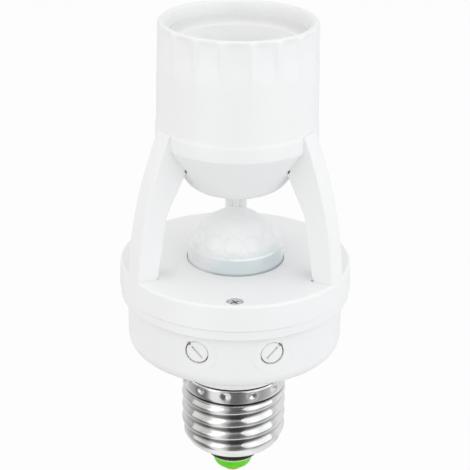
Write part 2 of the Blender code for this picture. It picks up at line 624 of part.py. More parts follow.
def arm_inner():
    """Inner edge of an arm from its foot to where it meets the bowl, with a rounded knee."""
    foot = (PLATE_RADIUS - ARM_FOOT_DEPTH, PLATE_TOP)
    knee_height = PLATE_TOP + ARM_KNEE_HEIGHT
    knee = (arm_outer(knee_height) - ARM_KNEE_DEPTH, knee_height)
    meet = (bowl_radius(ARM_MEET_HEIGHT), ARM_MEET_HEIGHT)
    return rounded([(*foot, 0.0), (*knee, ARM_KNEE_ROUND), (*meet, 0.0)], 5)


def make_arm(azimuth):
    """One arm, sunk half a wall into the cover below and into the cup and the bowl above."""
    outer = [(arm_outer(z), z) for z in spaced(PLATE_TOP, ARM_TOP - FIT_GAP, ARM_CURVE_STEPS)]
    inner = arm_inner()
    half_floor = BOWL_FLOOR / 2.0
    sunk_foot = PLATE_TOP - PLATE_THICKNESS / 2.0
    outline = [(PLATE_RADIUS - PLATE_EDGE, sunk_foot)] + outer
    outline += [(CUP_WAIST_RADIUS - half_floor, ARM_TOP + half_floor), (CUP_FOOT_RADIUS - half_floor, CUP_FOOT)]
    outline += [(bowl_radius(ARM_MEET_HEIGHT) - half_floor, ARM_MEET_HEIGHT + half_floor / 2.0)]
    outline += inner[::-1]
    outline += [(inner[0][0], sunk_foot)]

    def follow_round(x, y):
        return math.sqrt(x * x - y * y)

    arm = extruded(f"arm_{azimuth}", outline, ARM_WIDTH, WHITE_PLASTIC, ARM_SLICES, follow_round)
    arm.rotation_euler = (0.0, 0.0, math.radians(azimuth))
    return arm


def make_channel(azimuth):
    """Cutter for the wire channel: open to the axis, through the plate below and into the bowl above."""
    port_top = CHANNEL_PORT + CHANNEL_PORT_HEIGHT
    channel_top = CUP_SEAT + FIT_GAP
    foot_inside = PLATE_RADIUS - ARM_FOOT_DEPTH - CHANNEL_MOUTH
    foot_outside = SKIRT_BORE - FIT_GAP
    below = PLATE_UNDERSIDE - PLATE_THICKNESS
    inside_well = BOWL_WELL_RADIUS * 0.72
    outline = [(foot_inside, below), (foot_outside, below), (foot_outside, PLATE_TOP)]
    rises = spaced(PLATE_TOP + CHANNEL_MOUTH, channel_top, ARM_CURVE_STEPS)
    outline += [(arm_outer(z) - ARM_WEB, z) for z in rises]
    outline += [(CUP_BORE + INSERT_WALL / 2.0, channel_top), (bowl_radius(port_top) - FIT_GAP, port_top),
                (inside_well, port_top), (inside_well, CHANNEL_PORT),
                (bowl_radius(CHANNEL_PORT) + CHANNEL_MOUTH / 2.0, CHANNEL_PORT)]
    outline += [(r - CHANNEL_MOUTH, z) for r, z in arm_inner()[::-1][1:]]
    channel = extruded(f"channel_{azimuth}", outline, CHANNEL_WIDTH, WHITE_PLASTIC)
    channel.rotation_euler = (0.0, 0.0, math.radians(azimuth))
    return channel


def make_upper_body():
    """One moulding: cover, three arms with wire channels, fluted cup and bowl, with its screw bosses."""
    body = make_cup()
    combine(body, make_cover(), "UNION")
    for azimuth in ARM_AZIMUTHS:
        combine(body, make_arm(azimuth), "UNION")
    pad_radius = min(SCREW_PAD_RADIUS, SKIRT_BORE - COVER_BOSS_CIRCLE - FIT_GAP)
    pads = []
    holes = []
    for azimuth in COVER_SCREW_AZIMUTHS:
        pads.append((post(pad_radius, PAD_FOOT, PLATE_TOP - PLATE_THICKNESS / 2.0),
                     Matrix.Translation(on_circle(COVER_BOSS_CIRCLE, azimuth))))
        hole_radius = COVER_SCREW_RADIUS + FIT_GAP
        above = PLATE_TOP + HOUSING_WALL
        holes.append(([(0.0, PAD_FOOT - FIT_GAP), (hole_radius, PAD_FOOT - FIT_GAP), (hole_radius, HEAD_SEAT),
                       (SCREW_RECESS_RADIUS, HEAD_SEAT), (SCREW_RECESS_RADIUS, above), (0.0, above)],
                      Matrix.Translation(on_circle(COVER_SCREW_CIRCLE, azimuth))))
    for x in SOCKET_SCREW_PLACES:
        place = Matrix.Translation((x, 0.0, 0.0))
        pads.append((post(SOCKET_BOSS_RADIUS, WELL_FLOOR - BOWL_FLOOR / 2.0, CUP_SEAT), place))
        hole = post(SOCKET_SCREW_RADIUS + FIT_GAP, SOCKET_SCREW_FOOT - FIT_GAP, CUP_SEAT + FIT_GAP)
        holes.append((hole, place))
    combine(body, turned_group("body_bosses", pads, WHITE_PLASTIC), "UNION")
    for azimuth in ARM_AZIMUTHS:
        combine(body, make_channel(azimuth), "DIFFERENCE")
    combine(body, turned_group("body_holes", holes, WHITE_PLASTIC), "DIFFERENCE")


def make_screw(name, place, head_foot, length, radius):
    """A cross-head screw: a rounded head with a cross cut in it, and a plain shank."""
    head_top = head_foot + SCREW_HEAD_HEIGHT
    corners = [(0.0, head_foot - length, 0.0), (radius, head_foot - length, radius * 0.4),
               (radius, head_foot, 0.0), (SCREW_HEAD_RADIUS, head_foot, 0.0),
               (SCREW_HEAD_RADIUS, head_top, SCREW_HEAD_HEIGHT * 0.6), (0.0, head_top, 0.0)]
    screw = turned(name, rounded(corners, 2), STEEL, SCREW_STEPS)
    screw.location = place
    centre = Matrix.Translation((0.0, 0.0, head_top))
    depth = 2.0 * SCREW_CROSS_DEPTH
    along = box_group(name + "_slot", [((SCREW_CROSS_LENGTH, SCREW_CROSS_WIDTH, depth), centre)], STEEL)
    across = box_group(name + "_cross_slot", [((SCREW_CROSS_WIDTH, SCREW_CROSS_LENGTH, depth), centre)], STEEL)
    for slot in (along, across):
        slot.parent = screw
        combine(screw, slot, "DIFFERENCE")


def lenslet_directions():
    """Unit directions of the small lenses on the dome, row by row."""
    directions = []
    for count, elevation in LENSLET_ROWS:
        rise = math.radians(elevation)
        for index in range(count):
            turn = math.radians(270.0) + 2.0 * math.pi * index / count
            directions.append(Vector((math.cos(rise) * math.cos(turn), math.cos(rise) * math.sin(turn),
                                      math.sin(rise))))
    return directions


def make_dome_lens():
    """Milky half-sphere with rows of small lenses, a short wall and a flange under the plate."""
    inner_radius = DOME_RADIUS - DOME_WALL
    flange_radius = DOME_HOLE_RADIUS + DOME_FLANGE_WIDTH
    outline = [(0.0, DOME_CENTRE + DOME_RADIUS)]
    for angle in spaced(90.0, 0.0, DOME_ROWS)[1:]:
        turn = math.radians(angle)
        outline.append((DOME_RADIUS * math.cos(turn), DOME_CENTRE + DOME_RADIUS * math.sin(turn)))
    outline += [(DOME_RADIUS, DOME_FLANGE_TOP), (flange_radius, DOME_FLANGE_TOP),
                (flange_radius, DOME_FLANGE_FOOT), (inner_radius, DOME_FLANGE_FOOT)]
    for angle in spaced(0.0, 90.0, DOME_ROWS // 2)[:-1]:
        turn = math.radians(angle)
        outline.append((inner_radius * math.cos(turn), DOME_CENTRE + inner_radius * math.sin(turn)))
    outline.append((0.0, DOME_CENTRE + inner_radius))
    lens = turned("dome_lens", outline, LENS_PLASTIC)
    centre = Vector((0.0, 0.0, DOME_CENTRE))
    directions = lenslet_directions()
    for vert in lens.data.vertices:
        offset = vert.co - centre
        if offset.z < FIT_GAP or offset.length < DOME_RADIUS - FIT_GAP:
            continue
        unit = offset.normalized()
        distance = min((unit - direction).length for direction in directions) * DOME_RADIUS
        rise = max(0.0, 1.0 - (distance / LENSLET_RADIUS) ** 2)
        vert.co += unit * LENSLET_HEIGHT * rise


def make_lens_retainer():
    """Ring that clamps the dome's flange up against the plate."""
    top = DOME_FLANGE_FOOT - FIT_GAP
    inner_radius = DOME_RADIUS - DOME_WALL
    outer_radius = inner_radius + RETAINER_WIDTH
    foot = top - RETAINER_HEIGHT
    corners = [(inner_radius, foot, 0.0), (outer_radius, foot, FIT_GAP), (outer_radius, top, 0.0),
               (inner_radius, top, 0.0)]
    turned("lens_retainer", rounded(corners), WHITE_PLASTIC, 28)


def make_knob(name, azimuth):
    """Trimmer knob in the housing's wall: a slotted disc, a notch at the pointer's end and a stem."""
    face_radius = HOUSING_RADIUS - KNOB_SINK
    stem_end = TRIMMER_FRONT + FIT_GAP - face_radius
    corners = [(0.0, stem_end, 0.0), (KNOB_STEM_RADIUS, stem_end, 0.0),
               (KNOB_STEM_RADIUS, -KNOB_THICKNESS, 0.0), (KNOB_RADIUS, -KNOB_THICKNESS, 0.0),
               (KNOB_RADIUS, 0.0, FIT_GAP), (0.0, 0.0, 0.0)]
    knob = turned(name, rounded(corners, 2), KNOB_PLASTIC, 24)
    knob.matrix_world = outward(face_radius, azimuth, KNOB_HEIGHT)
    pointer = Matrix.Rotation(math.radians(KNOB_POINTERS[name]), 4, "Z")
    slot = box_group(name + "_slot", [((KNOB_SLOT_WIDTH, KNOB_SLOT_LENGTH, 2.0 * KNOB_SLOT_DEPTH), pointer)],
                     KNOB_PLASTIC)
    notch_place = pointer @ Matrix.Translation((0.0, KNOB_RADIUS, 0.0))
    notch = turned_group(name + "_notch", [(post(KNOB_NOTCH_RADIUS, -2.0 * KNOB_THICKNESS, KNOB_THICKNESS),
                                            notch_place)], KNOB_PLASTIC, 8)
    for cutter in (slot, notch):
        cutter.parent = knob
        combine(knob, cutter, "DIFFERENCE")


def make_trimmer(name, azimuth):
    """Body of a trimmer under the board, right behind its knob."""
    foot = KNOB_HEIGHT - TRIMMER_WIDTH / 2.0
    top = BOARD_UNDERSIDE - FIT_GAP
    place = on_circle(TRIMMER_FRONT - TRIMMER_DEPTH / 2.0, azimuth, (foot + top) / 2.0)
    block(name, (TRIMMER_DEPTH, TRIMMER_WIDTH, top - foot), PART_BLUE, place, FIT_GAP, azimuth)


def make_circuit_board():
    """Round board with notches for the cover's bosses and holes for its own screws."""
    board = turned("circuit_board", post(BOARD_RADIUS, BOARD_UNDERSIDE, BOARD_TOP), BOARD_GREEN)
    below = BOARD_UNDERSIDE - BOARD_THICKNESS
    above = BOARD_TOP + BOARD_THICKNESS
    cuts = []
    for azimuth in COVER_SCREW_AZIMUTHS:
        cuts.append((post(COVER_BOSS_RADIUS + BOARD_CLEARANCE, below, above),
                     Matrix.Translation(on_circle(COVER_BOSS_CIRCLE, azimuth))))
    for azimuth in BOARD_BOSS_AZIMUTHS:
        cuts.append((post(BOARD_SCREW_RADIUS + FIT_GAP, below, above),
                     Matrix.Translation(on_circle(BOARD_BOSS_CIRCLE, azimuth))))
    combine(board, turned_group("board_cuts", cuts, BOARD_GREEN), "DIFFERENCE")


def make_sensor():
    """Infrared sensor can on its spacer, with its dark window set in the top, and the photocell beside it."""
    spacer_foot = BOARD_TOP + FIT_GAP
    can_foot = spacer_foot + SENSOR_SPACER_HEIGHT + FIT_GAP
    can_top = can_foot + SENSOR_CAN_HEIGHT
    brim_radius = SENSOR_CAN_RADIUS + SENSOR_BRIM
    spacer = post(brim_radius, spacer_foot, spacer_foot + SENSOR_SPACER_HEIGHT)
    turned("sensor_spacer", spacer, WHITE_PLASTIC, 24)
    corners = [(0.0, can_foot, 0.0), (brim_radius, can_foot, 0.0), (brim_radius, can_foot + SENSOR_BRIM, 0.0),
               (SENSOR_CAN_RADIUS, can_foot + SENSOR_BRIM, 0.0), (SENSOR_CAN_RADIUS, can_top, SENSOR_BRIM),
               (0.0, can_top, 0.0)]
    can = turned("pir_sensor", rounded(corners), STEEL, 24, PIN_TURN)
    length, width, depth = SENSOR_WINDOW
    pocket = (length + 2.0 * FIT_GAP, width + 2.0 * FIT_GAP, 2.0 * (depth + FIT_GAP))
    cut = box_group("sensor_pocket", [(pocket, Matrix.Translation((0.0, 0.0, can_top)))], STEEL)
    combine(can, cut, "DIFFERENCE")
    block("sensor_window", SENSOR_WINDOW, PART_BLACK, (0.0, 0.0, can_top - depth / 2.0))
    foot = BOARD_TOP + FIT_GAP
    cell = turned("photocell", rounded([(0.0, foot, 0.0), (PHOTOCELL_RADIUS, foot, 0.0),
                                        (PHOTOCELL_RADIUS, foot + PHOTOCELL_HEIGHT, FIT_GAP),
                                        (0.0, foot + PHOTOCELL_HEIGHT, 0.0)]), PART_RED, 16)
    cell.location = on_circle(brim_radius + PHOTOCELL_GAP + PHOTOCELL_RADIUS, PHOTOCELL_AZIMUTH)


def on_board(shares, height):
    """A place on the board from its shares of the board's radius."""
    return (BOARD_RADIUS * shares[0], BOARD_RADIUS * shares[1], height)


def under_board(name, size, shares, material):
    """A box-shaped component that hangs from the underside of the board."""
    block(name, size, material, on_board(shares, BOARD_UNDERSIDE - FIT_GAP - size[2] / 2.0), 2.0 * FIT_GAP)


def over_board(name, radius, length, shares, material):
    """A small cylinder that lies along X on the top of the board."""
    outline = rounded([(0.0, -length / 2.0, 0.0), (radius, -length / 2.0, radius / 3.0),
                       (radius, length / 2.0, radius / 3.0), (0.0, length / 2.0, 0.0)], 1)
    piece = turned(name, outline, material, 8)
    piece.location = on_board(shares, BOARD_TOP + FIT_GAP + radius)
    piece.rotation_euler = (0.0, math.pi / 2.0, 0.0)


def make_board_components():
    """Relay, capacitors, chip, diodes and resistors."""
    under_board("relay", RELAY_SIZE, RELAY_PLACE, PART_BLUE)
    film_middle = BOARD_BOSS_RADIUS + FILM_CAPACITOR_BOSS_GAP + FILM_CAPACITOR_SIZE[0] / 2.0 - BOARD_BOSS_CIRCLE
    under_board("film_capacitor", FILM_CAPACITOR_SIZE, (film_middle / BOARD_RADIUS, FILM_CAPACITOR_SHARE),
                PART_RED)
    top = BOARD_UNDERSIDE - FIT_GAP
    foot = top - SMOOTHING_CAPACITOR_HEIGHT
    can = turned("smoothing_capacitor", rounded([(0.0, foot, 0.0), (SMOOTHING_CAPACITOR_RADIUS, foot, FIT_GAP),
                                                 (SMOOTHING_CAPACITOR_RADIUS, top, FIT_GAP), (0.0, top, 0.0)]),
                 PART_BLACK, 20)
    can.location = on_board(SMOOTHING_CAPACITOR_PLACE, 0.0)
    chip_place = on_board(CHIP_PLACE, BOARD_TOP + FIT_GAP + CHIP_SIZE[2] / 2.0)
    block("controller_chip", CHIP_SIZE, PART_BLACK, chip_place, FIT_GAP)
    for index, shares in enumerate(DIODE_PLACES):
        over_board(f"rectifier_diode_{index + 1}", DIODE_RADIUS, DIODE_LENGTH, shares, PART_BLACK)
    for index, shares in enumerate(RESISTOR_PLACES):
        over_board(f"resistor_{index + 1}", RESISTOR_RADIUS, RESISTOR_LENGTH, shares, WIRE_BLUE)


def smooth_route(points, per_span=3):
    """Points of a smooth curve that passes through the route's own points."""
    knots = [Vector(point) for point in points]
    knots = [2.0 * knots[0] - knots[1]] + knots + [2.0 * knots[-1] - knots[-2]]
    route = []
    for before, start, end, after in zip(knots[:-3], knots[1:-2], knots[2:-1], knots[3:]):
        for step in range(per_span):
            t = step / per_span
            route.append(0.5 * (2.0 * start + (end - before) * t
                                + (2.0 * before - 5.0 * start + 4.0 * end - after) * t ** 2
                                + (3.0 * start - before - 3.0 * end + after) * t ** 3))
    route.append(knots[-2])
    return route


def make_wire(name, radius, points, material, sides=6):
    """A wire with a round section along a smooth route, closed at both ends."""
    route = smooth_route(points)
    bm = bmesh.new()
    along = (route[1] - route[0]).normalized()
    side = along.orthogonal().normalized()
    rings = []
    for index, place in enumerate(route):
        ahead = route[min(index + 1, len(route) - 1)]
        behind = route[max(index - 1, 0)]
        along = (ahead - behind).normalized()
        side = (side - along * side.dot(along)).normalized()
        across = along.cross(side)
        turns = [2.0 * math.pi * step / sides for step in range(sides)]
        rings.append([bm.verts.new(place + radius * (side * math.cos(turn) + across * math.sin(turn)))
                      for turn in turns])
    for ring, following in zip(rings[:-1], rings[1:]):
        for step in range(sides):
            after = (step + 1) % sides
            bm.faces.new((ring[step], ring[after], following[after], following[step]))
    bm.faces.new(rings[0][::-1])
    bm.faces.new(rings[-1])
    return placed(name, bm, material)


def make_lamp_wire(name, azimuth, material):
    """Wire from the board up an arm's channel, through the port and the well to the socket insert."""
    inset = ARM_WEB + 1.5 * FIT_GAP + LAMP_WIRE_RADIUS
    hole_middle = SKIRT_BORE - CHANNEL_WIDTH / 2.0
    start_radius = hole_middle - CHANNEL_WIDTH * 0.8
    port_middle = CHANNEL_PORT + CHANNEL_PORT_HEIGHT / 2.0
    turn_height = port_middle - CHANNEL_PORT_HEIGHT * 1.2
    turn_radius = arm_outer(turn_height) - inset
    port_radius = bowl_radius(port_middle)
    end_radius = BOWL_WELL_RADIUS - CHANNEL_WIDTH - LAMP_WIRE_RADIUS
    route = [(start_radius, BOARD_TOP + 2.0 * FIT_GAP), (start_radius, PAD_FOOT - RETAINER_HEIGHT),
             (hole_middle - FIT_GAP, PLATE_TOP)]
    route += [(arm_outer(z) - inset, z) for z in spaced(PLATE_TOP + CHANNEL_WIDTH, turn_height, 3)]
    route += [((turn_radius + port_radius) / 2.0 + FIT_GAP, port_middle - FIT_GAP), (port_radius, port_middle),
              (end_radius + CHANNEL_WIDTH, port_middle), (end_radius, port_middle + LAMP_WIRE_RADIUS),
              (end_radius - FIT_GAP, CUP_SEAT - FIT_GAP)]
    make_wire(name, LAMP_WIRE_RADIUS, [on_circle(r, azimuth, z) for r, z in route], material)


def make_supply_wires():
    """Wires from the end contact's rivet and from the shell up to the board."""
    rivet_top = CONTACT_HEIGHT + RIVET_HEIGHT
    board = BOARD_UNDERSIDE - 2.0 * FIT_GAP
    inside_shell = SPIGOT_RADIUS - SUPPLY_WIRE_RADIUS
    inside_collar = COLLAR_BORE - FIT_GAP - 2.0 * SUPPLY_WIRE_RADIUS
    spigot_foot = COLLAR_FOOT - SPIGOT_LENGTH
    make_wire("contact_wire", SUPPLY_WIRE_RADIUS,
              [(0.0, 0.0, rivet_top + FIT_GAP), (0.0, 0.0, SHELL_FOOT + SHELL_HEIGHT / 2.0),
               (0.0, -SUPPLY_WIRE_RADIUS, COLLAR_FOOT),
               (SUPPLY_WIRE_RADIUS * 2.0, -SUPPLY_WIRE_RADIUS * 4.0, HOUSING_FLOOR),
               (SUPPLY_WIRE_RADIUS * 3.0, -SUPPLY_WIRE_RADIUS * 5.0, board)], WIRE_WHITE)
    make_wire("shell_wire", SUPPLY_WIRE_RADIUS,
              [(inside_shell, 0.0, spigot_foot - 2.0 * SPIGOT_LENGTH / 3.0),
               (inside_shell - SUPPLY_WIRE_RADIUS, 0.0, spigot_foot - SPIGOT_LENGTH / 3.0),
               (inside_collar, 0.0, spigot_foot + SUPPLY_WIRE_RADIUS), (inside_collar, 0.0, COLLAR_FOOT),
               (inside_collar, -SUPPLY_WIRE_RADIUS, HOUSING_FLOOR),
               (inside_collar, -SUPPLY_WIRE_RADIUS * 3.0, board)], WIRE_BLUE)


def make_socket():
    """Insert of the lamp socket, its threaded sleeve, the centre tongue and the screws that hold them."""
    insert_top = CUP_RIM - INSERT_TOP_BELOW_RIM
    corners = [(0.0, INSERT_FOOT, 0.0), (INSERT_RADIUS, INSERT_FOOT, 0.0), (INSERT_RADIUS, insert_top, FIT_GAP),
               (INSERT_BORE, insert_top, FIT_GAP), (INSERT_BORE, INSERT_BASE_TOP, 0.0),
               (0.0, INSERT_BASE_TOP, 0.0)]
    insert = turned("socket_insert", rounded(corners, 2), CERAMIC)
    holes = []
    for x in SOCKET_SCREW_PLACES:
        holes.append((post(SOCKET_SCREW_RADIUS + FIT_GAP, INSERT_FOOT - FIT_GAP, INSERT_BASE_TOP + FIT_GAP),
                      Matrix.Translation((x, 0.0, 0.0))))
    combine(insert, turned_group("insert_holes", holes, CERAMIC), "DIFFERENCE")
    for index, x in enumerate(SOCKET_SCREW_PLACES):
        make_screw(f"socket_screw_{index + 1}", (x, 0.0, 0.0), INSERT_BASE_TOP + FIT_GAP,
                   SOCKET_SCREW_LENGTH, SOCKET_SCREW_RADIUS)
    foot = INSERT_BASE_TOP + FIT_GAP
    top = foot + SOCKET_HEIGHT
    middle_radius = SOCKET_CREST_RADIUS + THREAD_DEPTH / 2.0
    inner = [(middle_radius, z) for z in spaced(foot + SOCKET_WALL, top, SOCKET_THREAD_ROWS)]
    outer = [(r + SOCKET_WALL, z) for r, z in inner]
    outer[0] = (middle_radius + SOCKET_WALL, foot)
    ring = [(SOCKET_FLANGE_RADIUS, foot), (SOCKET_FLANGE_RADIUS, foot + SOCKET_WALL)]
    crest = foot + THREAD_PITCH

    def roll_thread(radius, angle, height):
        fade = smooth_step((height - foot) / THREAD_PITCH) * smooth_step((top - height) / THREAD_PITCH * 2.0)
        return radius - THREAD_DEPTH / 2.0 * fade * thread_wave(angle, height, crest)

    turned("socket_shell", ring + inner + outer[::-1], NICKEL, SOCKET_THREAD_STEPS, reshape=roll_thread)
    half = TONGUE_LENGTH / 2.0
    under = [(-half, foot), (-half / 3.0, foot), (0.0, foot + TONGUE_RISE),
             (half / 2.0, foot + TONGUE_RISE * 0.8)]
    over = [(x, z + TONGUE_SHEET) for x, z in under]
    tongue = extruded("socket_tongue", under + over[::-1], TONGUE_WIDTH, BRASS)
    tongue.rotation_euler = (0.0, 0.0, math.pi / 2.0)


make_end_contact()
make_cap_insulator()
make_cap_seal()
make_screw_shell()
make_lower_housing()
make_upper_body()
for screw_index, screw_azimuth in enumerate(COVER_SCREW_AZIMUTHS):
    make_screw(f"cover_screw_{screw_index + 1}", on_circle(COVER_SCREW_CIRCLE, screw_azimuth),
               HEAD_SEAT + FIT_GAP, COVER_SCREW_LENGTH, COVER_SCREW_RADIUS)
make_dome_lens()
make_lens_retainer()
for knob_name, knob_azimuth in KNOB_AZIMUTHS.items():
    make_knob(knob_name, knob_azimuth)
    make_trimmer(knob_name.replace("knob", "trimmer"), knob_azimuth)
make_circuit_board()
for screw_index, screw_azimuth in enumerate(BOARD_BOSS_AZIMUTHS):
    make_screw(f"board_screw_{screw_index + 1}", on_circle(BOARD_BOSS_CIRCLE, screw_azimuth),
               BOARD_TOP + FIT_GAP, BOARD_SCREW_LENGTH + BOARD_THICKNESS, BOARD_SCREW_RADIUS)
make_sensor()
make_board_components()
make_supply_wires()
make_lamp_wire("lamp_live_wire", LAMP_LIVE_AZIMUTH, WIRE_WHITE)
make_lamp_wire("lamp_neutral_wire", LAMP_NEUTRAL_AZIMUTH, WIRE_BLUE)
make_socket()
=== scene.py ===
"""Motion sensor lamp holder, as a studio product shot: screw cap, sensor housing, three arms and lamp socket.

Units are metres, +Z is up, the front is -Y, and the origin is the middle of the end contact's flat face.
"""
import math

import bpy
from mathutils import Matrix, Vector


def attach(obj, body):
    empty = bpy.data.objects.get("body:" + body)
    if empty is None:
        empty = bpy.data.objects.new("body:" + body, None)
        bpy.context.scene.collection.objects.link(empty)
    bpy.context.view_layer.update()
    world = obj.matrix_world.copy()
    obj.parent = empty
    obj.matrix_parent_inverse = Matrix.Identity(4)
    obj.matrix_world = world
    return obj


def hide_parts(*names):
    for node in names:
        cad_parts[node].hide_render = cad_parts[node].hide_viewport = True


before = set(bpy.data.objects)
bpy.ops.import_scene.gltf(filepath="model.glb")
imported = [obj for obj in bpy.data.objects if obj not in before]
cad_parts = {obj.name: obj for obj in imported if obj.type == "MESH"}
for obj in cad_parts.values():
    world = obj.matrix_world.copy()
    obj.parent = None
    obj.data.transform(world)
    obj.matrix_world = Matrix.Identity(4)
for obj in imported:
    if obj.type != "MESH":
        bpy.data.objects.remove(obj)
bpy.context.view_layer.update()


# The camera: a long way back for the part's size, so that the verticals stay nearly parallel. It looks down
# on the plate and is a touch out of level, as the product shot is.
SENSOR_WIDTH = 36.0
FOCAL_LENGTH = 111.52
CAMERA_PLACE = (-0.00017, -0.32532, 0.21041)
LOOK_DOWN = 23.888
OUT_OF_LEVEL = 0.775

camera_data = bpy.data.cameras.new("camera")
camera_data.sensor_width = SENSOR_WIDTH
camera_data.lens = FOCAL_LENGTH
camera = bpy.data.objects.new("camera", camera_data)
bpy.context.scene.collection.objects.link(camera)
tilt_down = Matrix.Rotation(math.radians(90.0 - LOOK_DOWN), 4, "X")
out_of_level = Matrix.Rotation(math.radians(OUT_OF_LEVEL), 4, "Z")
camera.matrix_world = Matrix.Translation(CAMERA_PLACE) @ tilt_down @ out_of_level
bpy.context.scene.camera = camera
bpy.context.scene.view_settings.view_transform = "Standard"


# Studio light: a large soft box to the front right that makes the right side the brighter one, a weaker one
# to the front left, and an even white room. Metal mirrors that room with a dark gap at the front, where the
# camera stands, and with greys to its sides.
BOX_SIZE = 1.40
BOX_AIM = Vector((0.0, 0.0, 0.06))


def soft_box(name, place, power, colour):
    """A square area lamp turned to the part."""
    data = bpy.data.lights.new(name, "AREA")
    data.shape = "SQUARE"
    data.size = BOX_SIZE
    data.energy = power
    data.color = colour
    lamp = bpy.data.objects.new(name, data)
    bpy.context.scene.collection.objects.link(lamp)
    turn = (BOX_AIM - Vector(place)).to_track_quat("-Z", "Y")
    lamp.matrix_world = Matrix.Translation(place) @ turn.to_matrix().to_4x4()


soft_box("key_box", (0.86, -0.56, 0.50), 4.5, (0.94, 0.98, 1.0))
soft_box("left_box", (-0.88, -0.40, 0.45), 3.1, (1.0, 1.0, 1.0))


class Socket:
    """A socket of a material's nodes that takes part in plain arithmetic."""

    def __init__(self, tree, plug):
        self.tree = tree
        self.plug = plug

    def node(self, kind, settings=None, sockets=None, output=0):
        """Adds a node: its settings first, then the values or links of its sockets."""
        made = self.tree.nodes.new(kind)
        for key, value in (settings or {}).items():
            if key == "stops":
                ramp = made.color_ramp
                ramp.elements.remove(ramp.elements[1])
                ramp.elements[0].position = value[0][0]
                ramp.elements[0].color = (*value[0][1], 1.0)
                for place, colour in value[1:]:
                    ramp.elements.new(place).color = (*colour, 1.0)
            else:
                setattr(made, key, value)
        for key, value in (sockets or {}).items():
            if isinstance(value, Socket):
                self.tree.links.new(value.plug, made.inputs[key])
            else:
                made.inputs[key].default_value = value
        return Socket(self.tree, made.outputs[output])

    def reckon(self, operation, first, second):
        return self.node("ShaderNodeMath", {"operation": operation}, {0: first, 1: second})

    def __add__(self, other):
        return self.reckon("ADD", self, other)

    def __radd__(self, other):
        return self.reckon("ADD", other, self)

    def __sub__(self, other):
        return self.reckon("SUBTRACT", self, other)

    def __rsub__(self, other):
        return self.reckon("SUBTRACT", other, self)

    def __mul__(self, other):
        return self.reckon("MULTIPLY", self, other)

    def __rmul__(self, other):
        return self.reckon("MULTIPLY", other, self)

    def __truediv__(self, other):
        return self.reckon("DIVIDE", self, other)

    def part(self, axis):
        """One coordinate of a vector: 0, 1 or 2."""
        return self.node("ShaderNodeSeparateXYZ", {}, {0: self}, axis)

    def into(self, *sockets):
        """Links this socket into others."""
        for socket in sockets:
            self.tree.links.new(self.plug, socket)

    def noise(self, scale, detail=3.0, stretch=(1.0, 1.0, 1.0)):
        """Noise from 0 to 1 over the piece, finer with scale and drawn out by stretch."""
        drawn = self.node("ShaderNodeVectorMath", {"operation": "MULTIPLY"}, {0: self, 1: stretch})
        return self.node("ShaderNodeTexNoise", {}, {"Vector": drawn, "Scale": scale, "Detail": detail})

    def step(self, low, high, first=0.0, last=1.0):
        """Runs smoothly from first to last as the value goes from low to high."""
        return self.node("ShaderNodeMapRange", {"interpolation_type": "SMOOTHSTEP"},
                         {"Value": self, "From Min": low, "From Max": high, "To Min": first, "To Max": last})

    def colours(self, stops):
        """A colour from the value, along stops of place and colour."""
        return self.node("ShaderNodeValToRGB", {"stops": stops}, {"Fac": self})

    def blend(self, base, top):
        """Mixes two colours by this value."""
        return self.node("ShaderNodeMix", {"data_type": "RGBA"}, {0: self, 6: base, 7: top}, 2)


WHITE = (1.0, 1.0, 1.0, 1.0)
BLACK = (0.0, 0.0, 0.0, 1.0)
ROOM_STRENGTH = 0.85
# Greys round the room as metal mirrors them: left is at 0.25, the front at 0.5 and right at 0.75 of the turn.
GREYS = [(0.0, 0.80), (0.136, 0.75), (0.231, 0.35), (0.30, 0.12), (0.335, 0.25), (0.361, 0.90), (0.420, 0.92),
         (0.450, 0.55), (0.478, 0.14), (0.530, 0.10), (0.570, 0.22), (0.625, 0.55), (0.678, 0.34),
         (0.742, 0.55), (0.806, 0.85), (1.0, 0.80)]


def mirrored_room(x, y, openness):
    """What a mirror sees towards (x, y): white where openness is 0, the greys of the room where it is 1."""
    turn = x.reckon("ARCTAN2", x, 0.0 - y) / (2.0 * math.pi) + 0.5
    greys = turn.colours([(place, (grey, grey, grey * 1.01)) for place, grey in GREYS])
    return openness.blend(WHITE, greys)


def ray_kinds(tree):
    """The camera, glossy and transmission rays of a node tree."""
    rays = tree.nodes.new("ShaderNodeLightPath").outputs
    return [Socket(tree, rays[f"Is {kind} Ray"]) for kind in ("Camera", "Glossy", "Transmission")]


world = bpy.data.worlds.new("white_room")
world.use_nodes = True
bpy.context.scene.world = world
room = world.node_tree
room.nodes.clear()
seen, glossy, through = ray_kinds(room)
direction = Socket(room, room.nodes.new("ShaderNodeTexCoord").outputs["Generated"])
mirrored = mirrored_room(direction.part(0), direction.part(1), direction.part(2).step(0.60, 0.92, 1.0, 0.0))
lighting = seen.node("ShaderNodeBackground", {}, {"Color": WHITE, "Strength": ROOM_STRENGTH})
shown = seen.node("ShaderNodeBackground", {}, {"Color": glossy.blend(WHITE, mirrored), "Strength": 1.0})
split = seen.reckon("MAXIMUM", seen.reckon("MAXIMUM", seen, glossy), through)
surface = seen.node("ShaderNodeMixShader", {}, {0: split, 1: lighting, 2: shown})
surface.into(room.nodes.new("ShaderNodeOutputWorld").inputs["Surface"])


# The floor: a wide sheet of white paper well below the part, which is held up by its cap. Seen directly or
# mirrored it mostly glows paper white or the room's greys; the rest of it takes the light.
FLOOR_HEIGHT = -0.16
PAPER_GLOW = 0.94

